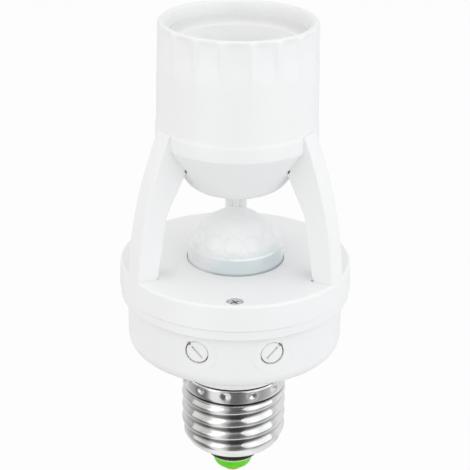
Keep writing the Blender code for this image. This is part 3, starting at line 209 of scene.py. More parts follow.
bpy.ops.object.select_all(action="DESELECT")
bpy.ops.mesh.primitive_plane_add(size=6.0, location=(0.0, 0.0, FLOOR_HEIGHT))
floor = bpy.context.object
floor.name = "paper_floor"
paper = bpy.data.materials.new("white_paper")
paper.use_nodes = True
sheet = paper.node_tree.nodes["Principled BSDF"]
sheet.inputs["Roughness"].default_value = 0.9
seen, glossy, _ = ray_kinds(paper.node_tree)
spot = Socket(paper.node_tree, paper.node_tree.nodes.new("ShaderNodeTexCoord").outputs["Object"])
fibre = spot.noise(60.0)
fibre.colours([(0.3, (0.69, 0.69, 0.69)), (0.7, (0.72, 0.72, 0.72))]).into(sheet.inputs["Base Color"])
away = spot.node("ShaderNodeVectorMath", {"operation": "LENGTH"}, {0: spot}, 1)
mirrored = mirrored_room(spot.part(0), spot.part(1), away.step(0.06, 0.13))
glow = seen.node("ShaderNodeEmission", {}, {"Color": glossy.blend(WHITE, mirrored), "Strength": 1.0})
share = seen.reckon("MAXIMUM", seen, glossy) * PAPER_GLOW
mix = seen.node("ShaderNodeMixShader", {}, {0: share, 1: Socket(paper.node_tree, sheet.outputs[0]), 2: glow})
mix.into(paper.node_tree.nodes["Material Output"].inputs["Surface"])
floor.data.materials.append(paper)


# Ways of making that every piece shares: finishes, turned shapes, cuts, and the body and CAD nodes that a
# piece belongs to.
def start_finish(name, **constants):
    """A new material with its plain settings; gives it, its place on the piece and its shader."""
    finish = bpy.data.materials.new(name)
    finish.use_nodes = True
    shader = finish.node_tree.nodes["Principled BSDF"]
    for key, value in constants.items():
        shader.inputs[key.replace("_", " ")].default_value = value
    coordinates = finish.node_tree.nodes.new("ShaderNodeTexCoord")
    return finish, Socket(finish.node_tree, coordinates.outputs["Object"]), shader


def feed(shader, **links):
    """Links sockets into the shader; Bump takes a height in metres."""
    for key, value in links.items():
        if key == "Bump":
            value = value.node("ShaderNodeBump", {}, {"Strength": 1.0, "Distance": 1.0, "Height": value})
            key = "Normal"
        value.into(shader.inputs[key.replace("_", " ")])


def turned_piece(name, profile, steps, finish, angle=30.0):
    """Draws a profile of (radius, height) points edge by edge, spins it about Z and closes it."""
    bpy.ops.object.select_all(action="DESELECT")
    bpy.ops.mesh.primitive_plane_add(size=0.001, location=(0.0, 0.0, 0.0))
    piece = bpy.context.object
    piece.name = name
    piece.data.name = name
    bpy.ops.object.mode_set(mode="EDIT")
    bpy.ops.mesh.select_all(action="SELECT")
    bpy.ops.mesh.merge(type="CENTER")
    bpy.ops.transform.translate(value=(profile[0][0], 0.0, profile[0][1]))
    for (radius, height), (next_radius, next_height) in zip(profile[:-1], profile[1:]):
        move = (next_radius - radius, 0.0, next_height - height)
        bpy.ops.mesh.extrude_region_move(TRANSFORM_OT_translate={"value": move})
    bpy.ops.mesh.select_all(action="SELECT")
    bpy.ops.mesh.spin(steps=steps, angle=2.0 * math.pi, center=(0.0, 0.0, 0.0), axis=(0.0, 0.0, 1.0))
    bpy.ops.mesh.select_all(action="SELECT")
    bpy.ops.mesh.remove_doubles(threshold=2e-6)
    bpy.ops.mesh.normals_make_consistent(inside=False)
    bpy.ops.object.mode_set(mode="OBJECT")
    bpy.ops.object.shade_smooth_by_angle(angle=math.radians(angle))
    piece.data.materials.append(finish)
    return piece


def rod(name, radius, foot, top, steps, finish):
    """A plain cylinder on the Z axis, mostly to cut with."""
    return turned_piece(name, [(0.0, foot), (radius, foot), (radius, top), (0.0, top)], steps, finish)


def eased(corners, steps=5):
    """Points of a profile whose corners (radius, height, fillet) become arcs."""
    points = []
    for index, (x, z, fillet) in enumerate(corners):
        if fillet <= 0.0:
            points.append((x, z))
            continue
        corner = Vector((x, z))
        before = Vector(corners[index - 1][:2]) - corner
        after = Vector(corners[(index + 1) % len(corners)][:2]) - corner
        half = before.angle(after) / 2.0
        reach = min(fillet / math.tan(half), 0.49 * min(before.length, after.length))
        radius = reach * math.tan(half)
        centre = corner + (before.normalized() + after.normalized()).normalized() * radius / math.sin(half)
        start = corner + before.normalized() * reach - centre
        sweep = start.angle_signed(corner + after.normalized() * reach - centre)
        for step in range(steps + 1):
            turned = start.copy()
            turned.rotate(Matrix.Rotation(-sweep * step / steps, 2))
            points.append((centre.x + turned.x, centre.y + turned.y))
    return points


def cut(piece, cutter, operation="DIFFERENCE"):
    """Cuts or joins with another mesh and removes it."""
    change = piece.modifiers.new("fit", "BOOLEAN")
    change.operation = operation
    change.solver = "EXACT"
    change.object = cutter
    bpy.ops.object.select_all(action="DESELECT")
    bpy.context.view_layer.objects.active = piece
    piece.select_set(True)
    bpy.ops.object.modifier_apply(modifier=change.name)
    bpy.data.objects.remove(cutter, do_unlink=True)


def set_in_place(piece, placement):
    """Moves the mesh itself, so that the object stays at the origin."""
    piece.data.transform(placement)
    piece.data.update()


def out_at(azimuth, radius):
    """Placement at a radius in a direction, unturned."""
    angle = math.radians(azimuth)
    return Matrix.Translation((radius * math.cos(angle), radius * math.sin(angle), 0.0))


def settle_shading(piece):
    """Clears slivers that cuts leave, and keeps flat faces flat next to small rounded ones."""
    bpy.ops.object.select_all(action="DESELECT")
    bpy.context.view_layer.objects.active = piece
    piece.select_set(True)
    bpy.ops.object.mode_set(mode="EDIT")
    bpy.ops.mesh.select_all(action="SELECT")
    bpy.ops.mesh.dissolve_degenerate(threshold=2e-6)
    bpy.ops.object.mode_set(mode="OBJECT")
    bpy.ops.object.shade_smooth_by_angle(angle=math.radians(30.0))
    weights = piece.modifiers.new("weights", "WEIGHTED_NORMAL")
    weights.keep_sharp = True
    weights.weight = 80
    bpy.ops.object.modifier_apply(modifier=weights.name)


def dress(piece, body, slot, *nodes):
    """The piece rides on a body and stands for CAD nodes; slot is not used."""
    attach(piece, body)
    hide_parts(*nodes)


# End contact: a solid brass rivet, turned, with a low flat head that a lamp holder's spring presses on. Its
# colour varies a little, as handled brass does.
polished_brass, place, shader = start_finish("polished_brass", Metallic=1.0)
spots = place.noise(900.0)
feed(shader, Base_Color=spots.colours([(0.3, (0.70, 0.50, 0.22)), (0.7, (0.83, 0.66, 0.36))]),
     Roughness=place.noise(2500.0).step(0.3, 0.7, 0.22, 0.38), Bump=place.noise(4000.0) * 0.00001)
CONTACT_RADIUS = 0.0024
CONTACT_TOP = 0.0011
TAIL_RADIUS = 0.0011
TAIL_TOP = 0.0102
contact_profile = eased([(0.0, 0.0, 0.0), (0.00195, 0.0, 0.0003), (CONTACT_RADIUS, 0.0005, 0.0003),
                         (CONTACT_RADIUS, CONTACT_TOP, 0.0001), (TAIL_RADIUS, CONTACT_TOP, 0.0),
                         (TAIL_RADIUS, TAIL_TOP, 0.0), (0.0, TAIL_TOP, 0.0)])
end_contact = turned_piece("contact_rivet", contact_profile, 48, polished_brass)
dress(end_contact, "holder", "brass", "end_contact")


# Button of the cap: bright green glass-filled plastic, moulded in one shot with a rounded underside. Above its
# widest edge its upper shoulder is painted pale as a painted highlight.
cap_green, place, shader = start_finish("button_green", IOR=1.5, Specular_IOR_Level=0.22)
# Painted highlight: the shoulder above the widest edge is coloured pale green.
painted_shoulder_highlight = place.part(2).step(0.0044, 0.0047)
green = place.noise(500.0).step(0.3, 0.7).blend((0.098, 0.64, 0.001, 1.0), (0.145, 0.70, 0.002, 1.0))
feed(shader, Base_Color=painted_shoulder_highlight.blend(green, (0.66, 0.90, 0.50, 1.0)),
     Roughness=place.noise(1500.0).step(0.3, 0.7, 0.30, 0.42), Bump=place.noise(3000.0) * 0.00001)
BUTTON_BORE = 0.0014
BUTTON_FOOT = 0.0014
BUTTON_TOP = 0.0053
NECK_RADIUS = 0.0040
NECK_TOP = 0.0099
button_profile = eased([(BUTTON_BORE, BUTTON_FOOT, 0.0), (0.0043, BUTTON_FOOT, 0.0024),
                        (0.00545, 0.0047, 0.0002), (0.0050, BUTTON_TOP, 0.0003), (NECK_RADIUS, BUTTON_TOP, 0.0),
                        (NECK_RADIUS, NECK_TOP, 0.0), (BUTTON_BORE, NECK_TOP, 0.0),
                        (BUTTON_BORE, BUTTON_FOOT, 0.0)], 10)
button = turned_piece("green_button", button_profile, 72, cap_green)
dress(button, "holder", "green_plastic", "cap_insulator")


# Seal of the cap: a ring of dark fused glass between the button and the shell's lip. It was poured hot, so
# its edge is rounded, and a few rusty streaks run through its black.
seal_glass, place, shader = start_finish("dark_glass", IOR=1.55, Specular_IOR_Level=0.22)
streak = place.noise(300.0, 4.0, (1.0, 1.0, 3.0))
feed(shader, Base_Color=streak.colours([(0.35, (0.006, 0.005, 0.005)), (0.62, (0.014, 0.009, 0.006)),
                                        (0.75, (0.10, 0.05, 0.03))]),
     Roughness=place.noise(800.0).step(0.3, 0.7, 0.30, 0.45), Bump=place.noise(900.0) * 0.00003)
SEAL_BORE = 0.0043
SEAL_TOP = 0.0120
seal_profile = [(SEAL_BORE, 0.0055), (0.0054, 0.00545), (0.0062, 0.0055), (0.00655, 0.0057), (0.0068, 0.0062),
                (0.0070, 0.0071), (0.0070, 0.0106), (0.0090, 0.0106), (0.0090, SEAL_TOP),
                (SEAL_BORE, SEAL_TOP), (SEAL_BORE, 0.0055)]
seal = turned_piece("glass_seal", seal_profile, 72, seal_glass)
dress(seal, "holder", "black_glass", "cap_seal")


# Shell of the cap: thin brass sheet, drawn into a cup, rolled with a rounded right-hand thread and bright
# nickel plated. Punch marks in the plain band above the thread crimp it to the housing's spigot.
SHELL_TOP = 0.0298
SHELL_FOOT = 0.0082
BAND_FOOT = 0.0261
BAND_RADIUS = 0.0131
LIP_RADIUS = 0.0072
THREAD_FOOT = 0.0133
THREAD_START = 0.0108
RUN_IN = 0.0030
SHEET = 0.0004
PITCH = 0.00363
CREST_HEIGHT = 0.0202
MIDDLE_RADIUS = 0.01275
WAVE = 0.00045
CRIMP_COUNT = 12
CRIMP_HEIGHT = 0.0283
CRIMP_RADIUS = 0.0012
CRIMP_DEPTH = 0.00050

bright_nickel, place, shader = start_finish("bright_nickel", Metallic=1.0)
rolling = place.noise(700.0, 3.0, (1.0, 1.0, 0.25))
tarnish = place.noise(160.0, 5.0).step(0.45, 0.75)
flat_place = place.node("ShaderNodeVectorMath", {"operation": "MULTIPLY"}, {0: place, 1: (1.0, 1.0, 0.0)})
from_axis = place.node("ShaderNodeVectorMath", {"operation": "LENGTH"}, {0: flat_place}, 1)
level = place.part(2)
# Painted shade: thread roots coloured darker, most towards the front; a near-black line in the corner under the
# band.
painted_root_shade = from_axis.step(0.01228, 0.01262, 1.0, 0.0) * (0.0 - place.part(1)).step(0.0092, 0.0118, 0.35, 1.0)
painted_root_shade = painted_root_shade * level.step(0.0130, 0.0138) * level.step(0.0266, 0.0268, 1.0, 0.0)
corner = level.step(BAND_FOOT - 0.0011, BAND_FOOT - 0.0006)
corner = corner * level.step(BAND_FOOT + 0.0001, BAND_FOOT + 0.0003, 1.0, 0.0)
plating = tarnish.blend((0.86, 0.855, 0.85, 1.0), (0.76, 0.745, 0.72, 1.0))
plating = painted_root_shade.blend(plating, (0.22, 0.215, 0.21, 1.0))
feed(shader, Base_Color=corner.blend(plating, (0.04, 0.04, 0.04, 1.0)),
     Roughness=rolling.step(0.3, 0.7, 0.08, 0.16) + tarnish * 0.05, Bump=place.noise(1400.0) * 0.000006)


def thread_wave(angle, height, crest_height):
    """Height of a rounded right-hand thread; crest_height is where it crests at the front."""
    turns = (angle - math.radians(270.0)) / (2.0 * math.pi)
    wave = math.cos(2.0 * math.pi * ((height - crest_height) / PITCH - turns))
    return wave - 0.15 * (wave * wave - 1.0)


shell_outside = [(LIP_RADIUS, SHELL_FOOT), (0.0078, SHELL_FOOT), (0.0088, 0.0085), (0.0100, 0.0090),
                 (0.0110, 0.0097), (0.0117, 0.0104), (0.0122, 0.0112), (0.0125, 0.0121)]
shell_outside += [(MIDDLE_RADIUS, THREAD_FOOT + (BAND_FOOT - 0.0010 - THREAD_FOOT) * step / 60)
                  for step in range(61)]
shell_outside += [(0.01245, BAND_FOOT - 0.0007), (0.01240, BAND_FOOT), (0.0130, BAND_FOOT + 0.00005),
                  (BAND_RADIUS, BAND_FOOT + 0.0002), (BAND_RADIUS, BAND_FOOT + 0.0010)]
shell_outside += [(BAND_RADIUS, 0.0276 + 0.0003 * step) for step in range(6)]
shell_outside += [(BAND_RADIUS, SHELL_TOP - 0.0005), (0.0130, SHELL_TOP - 0.0002), (0.0128, SHELL_TOP)]
shell_inside = [(radius - SHEET, max(height, SHELL_FOOT + SHEET)) for radius, height in shell_outside[1:]]
shell_inside.insert(0, (LIP_RADIUS, SHELL_FOOT + SHEET))
screw_shell = turned_piece("rolled_shell", shell_outside + shell_inside[::-1] + shell_outside[:1], 144,
                           bright_nickel, 40.0)
crimps = [math.radians(261.0) + 2.0 * math.pi * number / CRIMP_COUNT for number in range(CRIMP_COUNT)]
for vert in screw_shell.data.vertices:
    radius = math.hypot(vert.co.x, vert.co.y)
    angle = math.atan2(vert.co.y, vert.co.x)
    height = vert.co.z
    rise = max(0.0, min(1.0, (height - THREAD_START) / RUN_IN))
    fade = max(0.0, min(1.0, (BAND_FOOT - 0.0008 - height) / 0.0007))
    grown = radius + WAVE * rise * rise * (3.0 - 2.0 * rise) * fade * thread_wave(angle, height, CREST_HEIGHT)
    if height > BAND_FOOT + 0.0003:
        for crimp in crimps:
            around = math.remainder(angle - crimp, 2.0 * math.pi) * radius
            distance = math.hypot(around, height - CRIMP_HEIGHT)
            grown -= CRIMP_DEPTH * max(0.0, 1.0 - (distance / CRIMP_RADIUS) ** 2) ** 2
    vert.co.x *= grown / radius
    vert.co.y *= grown / radius
dress(screw_shell, "holder", "nickel", "screw_shell")


# Lower housing: white moulded plastic with a collar that grips the cap, a rounded bowl for the electronics
# and a flange that meets the cover. Two round holes in its front wall show the trimmer knobs.
KNOB_AZIMUTHS = {"time": 250.5, "lux": 289.9}
KNOB_HEIGHT = 0.0471
POINTERS = {"time": 45.0, "lux": -45.0}
POINTER_REACH = 0.0026
HOLE_RADIUS = 0.00294
HOLE_MOUTH = 0.02637
ARC_RADIUS = 0.0047
WALL_RADIUS = 0.02645
WALL_INSIDE = 0.02445
HOUSING_FOOT = 0.03775
HOUSING_FLOOR = 0.03975
HOUSING_TOP = 0.0570
FLANGE_RADIUS = 0.0281
FLANGE_FOOT = 0.0519
FLANGE_TOP = 0.0544
LIP_OUTSIDE = 0.02595
COLLAR_RADIUS = 0.0137
COLLAR_FOOT = 0.0305
SPIGOT_RADIUS = 0.0115
SPIGOT_FOOT = 0.0255
COLLAR_BORE = 0.0108

white_plastic, place, shader = start_finish("white_moulded_plastic", IOR=1.46)
cloud = place.noise(35.0, 2.0)
speck = place.noise(2600.0, 2.0)
relief = place.noise(650.0, 2.0) * 0.000018 + speck * 0.000004
for knob_name, azimuth in KNOB_AZIMUTHS.items():
    angle = math.radians(azimuth)
    across = place.node("ShaderNodeVectorMath", {"operation": "DOT_PRODUCT"},
                        {0: place, 1: (-math.sin(angle), math.cos(angle), 0.0)}, 1)
    out = place.node("ShaderNodeVectorMath", {"operation": "DOT_PRODUCT"},
                     {0: place, 1: (math.cos(angle), math.sin(angle), 0.0)}, 1)
    up = place.part(2) - KNOB_HEIGHT
    inwards = across if knob_name == "time" else 0.0 - across
    ring = across.reckon("SQRT", across * across + up * up, 0.0)
    line = ring.reckon("ABSOLUTE", ring - ARC_RADIUS, 0.0).step(0.00015, 0.00045, 1.0, 0.0)
    side = (inwards + up * 0.25).step(0.0020, 0.0024)
    relief = relief + line * side * out.step(0.0200, 0.0210) * 0.00007
feed(shader, Base_Color=cloud.colours([(0.35, (0.878, 0.880, 0.882)), (0.65, (0.897, 0.898, 0.898))]),
     Roughness=place.noise(420.0).step(0.3, 0.7, 0.28, 0.38), Bump=relief)
housing_profile = eased([(COLLAR_BORE, SPIGOT_FOOT, 0.0), (SPIGOT_RADIUS, SPIGOT_FOOT, 0.0),
                         (SPIGOT_RADIUS, COLLAR_FOOT, 0.0), (COLLAR_RADIUS, COLLAR_FOOT, 0.0004),
                         (COLLAR_RADIUS, HOUSING_FOOT, 0.0006), (WALL_RADIUS, HOUSING_FOOT, 0.0034),
                         (WALL_RADIUS, FLANGE_FOOT, 0.0002), (FLANGE_RADIUS, FLANGE_FOOT, 0.0003),
                         (FLANGE_RADIUS, FLANGE_TOP, 0.0003), (LIP_OUTSIDE, FLANGE_TOP, 0.0),
                         (LIP_OUTSIDE, HOUSING_TOP, 0.0003), (WALL_INSIDE, HOUSING_TOP, 0.0),
                         (WALL_INSIDE, HOUSING_FLOOR, 0.0014), (COLLAR_BORE, HOUSING_FLOOR, 0.0),
                         (COLLAR_BORE, SPIGOT_FOOT, 0.0)])
housing = turned_piece("housing_moulding", housing_profile, 180, white_plastic)


def facing_out(azimuth, radius, height):
    """Placement on the housing's wall with local Z outwards and local Y up."""
    quarter = math.pi / 2.0
    angle = math.radians(azimuth)
    about = Matrix.Rotation(angle + quarter, 4, "Z") @ Matrix.Rotation(quarter, 4, "X")
    return Matrix.Translation((radius * math.cos(angle), radius * math.sin(angle), height)) @ about


hole_profile = [(0.0, -0.004), (HOLE_RADIUS, -0.004), (HOLE_RADIUS, 0.0), (0.0037, 0.0012), (0.0, 0.0012)]
for knob_name, azimuth in KNOB_AZIMUTHS.items():
    mouth = facing_out(azimuth, HOLE_MOUTH, KNOB_HEIGHT)
    hole = turned_piece("hole", hole_profile, 64, white_plastic)
    set_in_place(hole, mouth)
    cut(housing, hole)
    bulge = rod("bulge", 0.0008, -0.0006, 0.0020, 24, white_plastic)
    bulge.data.transform(Matrix.Translation((0.0, POINTER_REACH, 0.0)))
    set_in_place(bulge, mouth @ Matrix.Rotation(math.radians(POINTERS[knob_name]), 4, "Z"))
    cut(housing, bulge)
settle_shading(housing)
# Painted shade: the faces at and below the collar's foot, seen only in the gap under it, are coloured near
# black.
painted_gap_shade_finish, place, shader = start_finish("painted_gap_shade", Roughness=0.7)
painted_gap_shade_colour = place.noise(900.0).colours([(0.3, (0.012, 0.011, 0.010)), (0.7, (0.030, 0.027, 0.024))])
feed(shader, Base_Color=painted_gap_shade_colour, Bump=place.noise(1800.0) * 0.00003)
housing.data.materials.append(painted_gap_shade_finish)
for face in housing.data.polygons:
    if face.center.z < COLLAR_FOOT + 0.00002:
        face.material_index = 1
dress(housing, "holder", "white_plastic", "lower_housing")


# Trimmer knobs: small white rotors with a driver slot and a pointer notch. They are moulded apart from the
# housing and stand a little inside its wall, so that a dark ring of clearance shows round each.
knob_plastic, place, shader = start_finish("knob_plastic", IOR=1.46)
feed(shader, Base_Color=place.noise(300.0).colours([(0.35, (0.86, 0.86, 0.86)), (0.65, (0.89, 0.89, 0.89))]),
     Roughness=place.noise(900.0).step(0.3, 0.7, 0.36, 0.48), Bump=place.noise(1500.0) * 0.000010)

KNOB_RADIUS = 0.00268
KNOB_FACE = 0.02615
STEM_RADIUS = 0.0011
STEM_END = -0.0052
KNOB_BACK = -0.0016
DRIVER_SLOT = (0.00055, 0.0038, 0.0013, 1.0)
knob_profile = eased([(0.0, STEM_END, 0.0), (STEM_RADIUS, STEM_END, 0.0), (STEM_RADIUS, KNOB_BACK, 0.0),
                      (KNOB_RADIUS, KNOB_BACK, 0.0), (KNOB_RADIUS, 0.0, 0.0003), (0.0, 0.0, 0.0)])
for knob_name, azimuth in KNOB_AZIMUTHS.items():
    knob = turned_piece(knob_name + "_rotor", knob_profile, 56, knob_plastic)
    bpy.ops.mesh.primitive_cube_add(size=1.0, location=(0.0, 0.0, 0.0))
    slot_cutter = bpy.context.object
    slot_cutter.data.transform(Matrix.Diagonal(DRIVER_SLOT))
    cut(knob, slot_cutter)
    notch = rod("notch", 0.0004, -0.0008, 0.003, 24, knob_plastic)
    set_in_place(notch, Matrix.Translation((0.0, POINTER_REACH, 0.0)))
    cut(knob, notch)
    turned = Matrix.Rotation(math.radians(POINTERS[knob_name]), 4, "Z")
    set_in_place(knob, facing_out(azimuth, KNOB_FACE, KNOB_HEIGHT) @ turned)
    settle_shading(knob)
    dress(knob, knob_name + "_dial", "knob_plastic", knob_name + "_knob")


# Upper body: one white moulding. The plate with its skirt, the fluted socket cup closed by a bowl, and three
# arms between them, each an open channel towards the axis that carries or could carry a wire.
PLATE_TOP = 0.0608
PLATE_UNDER = 0.0588
PLATE_RADIUS = 0.0281
DOME_HOLE = 0.01187
SKIRT_RADIUS = 0.0284
SKIRT_BORE = 0.0265
SKIRT_FOOT = 0.05443
body_profile = eased([(DOME_HOLE, PLATE_UNDER, 0.0), (SKIRT_BORE, PLATE_UNDER, 0.0),
                      (SKIRT_BORE, SKIRT_FOOT, 0.0), (SKIRT_RADIUS, SKIRT_FOOT, 0.0002),
                      (PLATE_RADIUS, PLATE_TOP, 0.0007), (DOME_HOLE, PLATE_TOP, 0.0002),
                      (DOME_HOLE, PLATE_UNDER, 0.0)])
body = turned_piece("body_moulding", body_profile, 180, white_plastic)

# The cup: its bowl, its wall that tapers to the rim, the lead-in inside and the seat of the insert. Ribs stand
# every 20 degrees round the mouth, with shallow scallops between them.
CUP_FOOT = 0.0923
CUP_RIM = 0.1204
CUP_RADIUS = 0.0194
CUP_BORE = 0.01625
WALL_FOOT = 0.0966
WALL_TOP = 0.1196
INSERT_SEAT = 0.0900
RIB_FOOT = 0.1095
RIB_RISE = 0.0070
RIB_DEPTH = 0.00042
SCALLOP_DEPTH = 0.00015
cup_profile = eased([(0.0, 0.0794, 0.0), (0.01085, 0.0794, 0.0060), (CUP_RADIUS, CUP_FOOT, 0.0004),
                     (CUP_RADIUS, 0.0955, 0.0), (0.01934, 0.0958, 0.0), (0.01920, 0.0961, 0.0)], 8)
cup_profile += [(0.01916 - 0.0004 * step / 32, WALL_FOOT + (WALL_TOP - WALL_FOOT) * step / 32)
                for step in range(33)]
cup_profile += [(0.01870, 0.1199), (0.01852, 0.12020), (0.01825, 0.12036), (0.01795, CUP_RIM),
                (0.01755, CUP_RIM), (0.01725, 0.1202), (0.01700, 0.1198), (0.01660, 0.1187),
                (0.01632, 0.1178), (CUP_BORE, 0.1172), (CUP_BORE, INSERT_SEAT), (0.0130, INSERT_SEAT),
                (0.0085, 0.0816), (0.0074, 0.0814), (0.0, 0.0814)]
cup = turned_piece("cup", cup_profile, 450, white_plastic)
for vert in cup.data.vertices:
    radius = math.hypot(vert.co.x, vert.co.y)
    if radius > 0.0179 and vert.co.z > 0.1085:
        angle = math.degrees(math.atan2(vert.co.y, vert.co.x)) - 279.0
        ramp = max(0.0, min(1.0, (vert.co.z - RIB_FOOT) / RIB_RISE))
        edge = max(0.0, min(1.0, (0.1203 - vert.co.z) / 0.0011))
        rib = math.exp(-(math.remainder(angle, 20.0) / (1.4 + 1.4 * ramp)) ** 2)
        scallop = abs(math.sin(math.radians(9.0 * angle)))
        depth = SCALLOP_DEPTH * scallop + RIB_DEPTH * (1.0 - rib)
        depth *= ramp * ramp * (3.0 - 2.0 * ramp) * edge
        vert.co.x *= (radius - depth) / radius
        vert.co.y *= (radius - depth) / radius
cut(body, cup, "UNION")

# The arms, their wire channels and the ports through which the channels open into the bowl.
ARM_AZIMUTHS = (90.0, 210.0, 330.0)
ARM_TOP = 0.0973
ARM_TOP_RADIUS = 0.01925
ARM_FOOT = 0.0598
ARM_INSIDE = 0.0228
ARM_WIDTH = 0.0056
ARM_LEAN = 2.9
ARM_MEETS_BOWL = 0.0862
BOWL_SLOPE = 0.663
CHANNEL_WIDTH = 0.00194
CHANNEL_BACK = 0.0030
CHANNEL_FOOT = 0.0568
CHANNEL_START = 0.0619
CHANNEL_TOP = 0.0903
PORT_FOOT = 0.0851
PORT_TOP = 0.0888
PORT_END = 0.0094


def arm_outer(height):
    """Radius of the arm's outer face, an arc that leans in as it rises."""
    lean = math.radians(ARM_LEAN)
    rise = ARM_TOP - PLATE_TOP
    run = PLATE_RADIUS - ARM_TOP_RADIUS
    turn = 2.0 * (math.atan2(run, rise) - lean)
    radius = math.hypot(run, rise) / (2.0 * math.sin(turn / 2.0))
    centre = (PLATE_RADIUS - radius * math.cos(lean), PLATE_TOP - radius * math.sin(lean))
    return centre[0] + math.sqrt(radius * radius - (height - centre[1]) ** 2)


def bowl_radius(height):
    """Radius of the bowl's cone."""
    return CUP_RADIUS - BOWL_SLOPE * (CUP_FOOT - height)


def slab(name, outline, width, slices, finish):
    """Draws an outline in the XZ plane, fills it and extrudes it across Y in slices."""
    bpy.ops.object.select_all(action="DESELECT")
    bpy.ops.mesh.primitive_plane_add(size=0.001, location=(0.0, 0.0, 0.0))
    piece = bpy.context.object
    piece.name = name
    bpy.ops.object.mode_set(mode="EDIT")
    bpy.ops.mesh.select_all(action="SELECT")
    bpy.ops.mesh.merge(type="CENTER")
    bpy.ops.transform.translate(value=(outline[0][0], -width / 2.0, outline[0][1]))
    for (x, z), (next_x, next_z) in zip(outline, outline[1:] + outline[:1]):
        bpy.ops.mesh.extrude_region_move(TRANSFORM_OT_translate={"value": (next_x - x, 0.0, next_z - z)})
    bpy.ops.mesh.select_all(action="SELECT")
    bpy.ops.mesh.remove_doubles(threshold=2e-6)
    bpy.ops.mesh.edge_face_add()
    for _ in range(slices):
        bpy.ops.mesh.extrude_region_move(TRANSFORM_OT_translate={"value": (0.0, width / slices, 0.0)})
    bpy.ops.mesh.select_all(action="SELECT")
    bpy.ops.mesh.normals_make_consistent(inside=False)
    bpy.ops.object.mode_set(mode="OBJECT")
    piece.data.materials.append(finish)
    return piece


arm_inner = eased([(ARM_INSIDE, PLATE_TOP, 0.0), (0.0203, 0.0765, 0.0120),
                   (bowl_radius(ARM_MEETS_BOWL), ARM_MEETS_BOWL, 0.0)], 8)
rises = [PLATE_TOP + (ARM_TOP - 0.0010 - PLATE_TOP) * step / 16 for step in range(17)]
arm_outline = [(0.0275, ARM_FOOT)] + [(arm_outer(z), z) for z in rises]
arm_outline += [(0.0180, 0.0961), (0.0180, CUP_FOOT), (bowl_radius(ARM_MEETS_BOWL) - 0.001, 0.0867)]
arm_outline += arm_inner[::-1] + [(ARM_INSIDE, ARM_FOOT)]
channel_rises = [CHANNEL_START + (CHANNEL_TOP - CHANNEL_START) * step / 14 for step in range(15)]
channel_outline = [(0.0217, CHANNEL_FOOT), (0.0262, CHANNEL_FOOT), (0.0262, PLATE_TOP)]
channel_outline += [(arm_outer(z) - CHANNEL_BACK, z) for z in channel_rises]
channel_outline += [(0.0170, CHANNEL_TOP), (bowl_radius(PORT_TOP) - 0.0003, PORT_TOP), (PORT_END, PORT_TOP),
                    (PORT_END, PORT_FOOT), (bowl_radius(PORT_FOOT) + 0.00055, PORT_FOOT)]
channel_outline += [(x - 0.0011, z) for x, z in arm_inner[::-1][1:]]
for azimuth in ARM_AZIMUTHS:
    arm = slab("arm", arm_outline, ARM_WIDTH, 6, white_plastic)
    for vert in arm.data.vertices:
        vert.co.x = math.sqrt(vert.co.x ** 2 - vert.co.y ** 2)
    soften = arm.modifiers.new("soften", "BEVEL")
    soften.width = 0.00035
    soften.segments = 3
    soften.limit_method = "ANGLE"
    soften.angle_limit = math.radians(50.0)
    bpy.ops.object.modifier_apply(modifier=soften.name)
    arm.data.transform(Matrix.Rotation(math.radians(azimuth), 4, "Z"))
    cut(body, arm, "UNION")
for azimuth in ARM_AZIMUTHS:
    channel = slab("channel", channel_outline, CHANNEL_WIDTH, 1, white_plastic)
    channel.data.transform(Matrix.Rotation(math.radians(azimuth), 4, "Z"))
    cut(body, channel)

# The recesses of the cover screws, a small pit at the foot of each front arm and, above it, the narrow gap
# that the mould leaves where the arm's side meets the bowl.
SCREW_AZIMUTHS = (270.0, 30.0, 150.0)
SCREW_CIRCLE = 0.0248
RECESS_FLOOR = 0.0592
well_profile = [(0.0, 0.0570), (0.0012, 0.0570), (0.0012, RECESS_FLOOR), (0.0020, RECESS_FLOOR),
                (0.0020, 0.0605), (0.00225, 0.0609), (0.0024, 0.0620), (0.0, 0.0620)]
for azimuth in SCREW_AZIMUTHS:
    well = turned_piece("well", well_profile, 40, white_plastic)
    set_in_place(well, out_at(azimuth, SCREW_CIRCLE))
    cut(body, well)
PIT_PLACE = (0.01835, -0.01382)
for side, pit_radius, gap_place in ((-1.0, 0.00028, (-0.0118, -0.0102, 0.0867)),
                                    (1.0, 0.00045, (0.01215, -0.0102, 0.0870))):
    pit = rod("pit", pit_radius, 0.0596, 0.0612, 16, white_plastic)
    set_in_place(pit, Matrix.Translation((side * PIT_PLACE[0], PIT_PLACE[1], 0.0)))
    cut(body, pit)
    gap = rod("gap", 0.00025, -0.0030, 0.0012, 16, white_plastic)
    leaning = Matrix.Rotation(math.radians(66.0), 4, "X") @ Matrix.Rotation(math.radians(-30.0 * side), 4, "Z")
    set_in_place(gap, Matrix.Translation(gap_place) @ leaning @ Matrix.Diagonal((0.85, 1.8, 1.0, 1.0)))
    cut(body, gap)
settle_shading(body)
dress(body, "holder", "white_plastic", "upper_body")


# Cover screws: small zinc-plated steel screws with a domed cold-formed head, driven down into the recesses of
# the plate. The cross for the driver stays in shadow.
zinc_steel, place, shader = start_finish("zinc_plated_steel", Metallic=1.0)
feed(shader, Base_Color=place.noise(1800.0).colours([(0.3, (0.66, 0.66, 0.66)), (0.7, (0.80, 0.80, 0.79))]),
     Roughness=place.noise(2600.0).step(0.3, 0.7, 0.28, 0.42), Bump=place.noise(5000.0) * 0.000008)
SCREW_RADIUS = 0.0009
HEAD_RADIUS = 0.0018
HEAD_HEIGHT = 0.0009
RING_PITCH = 0.0007


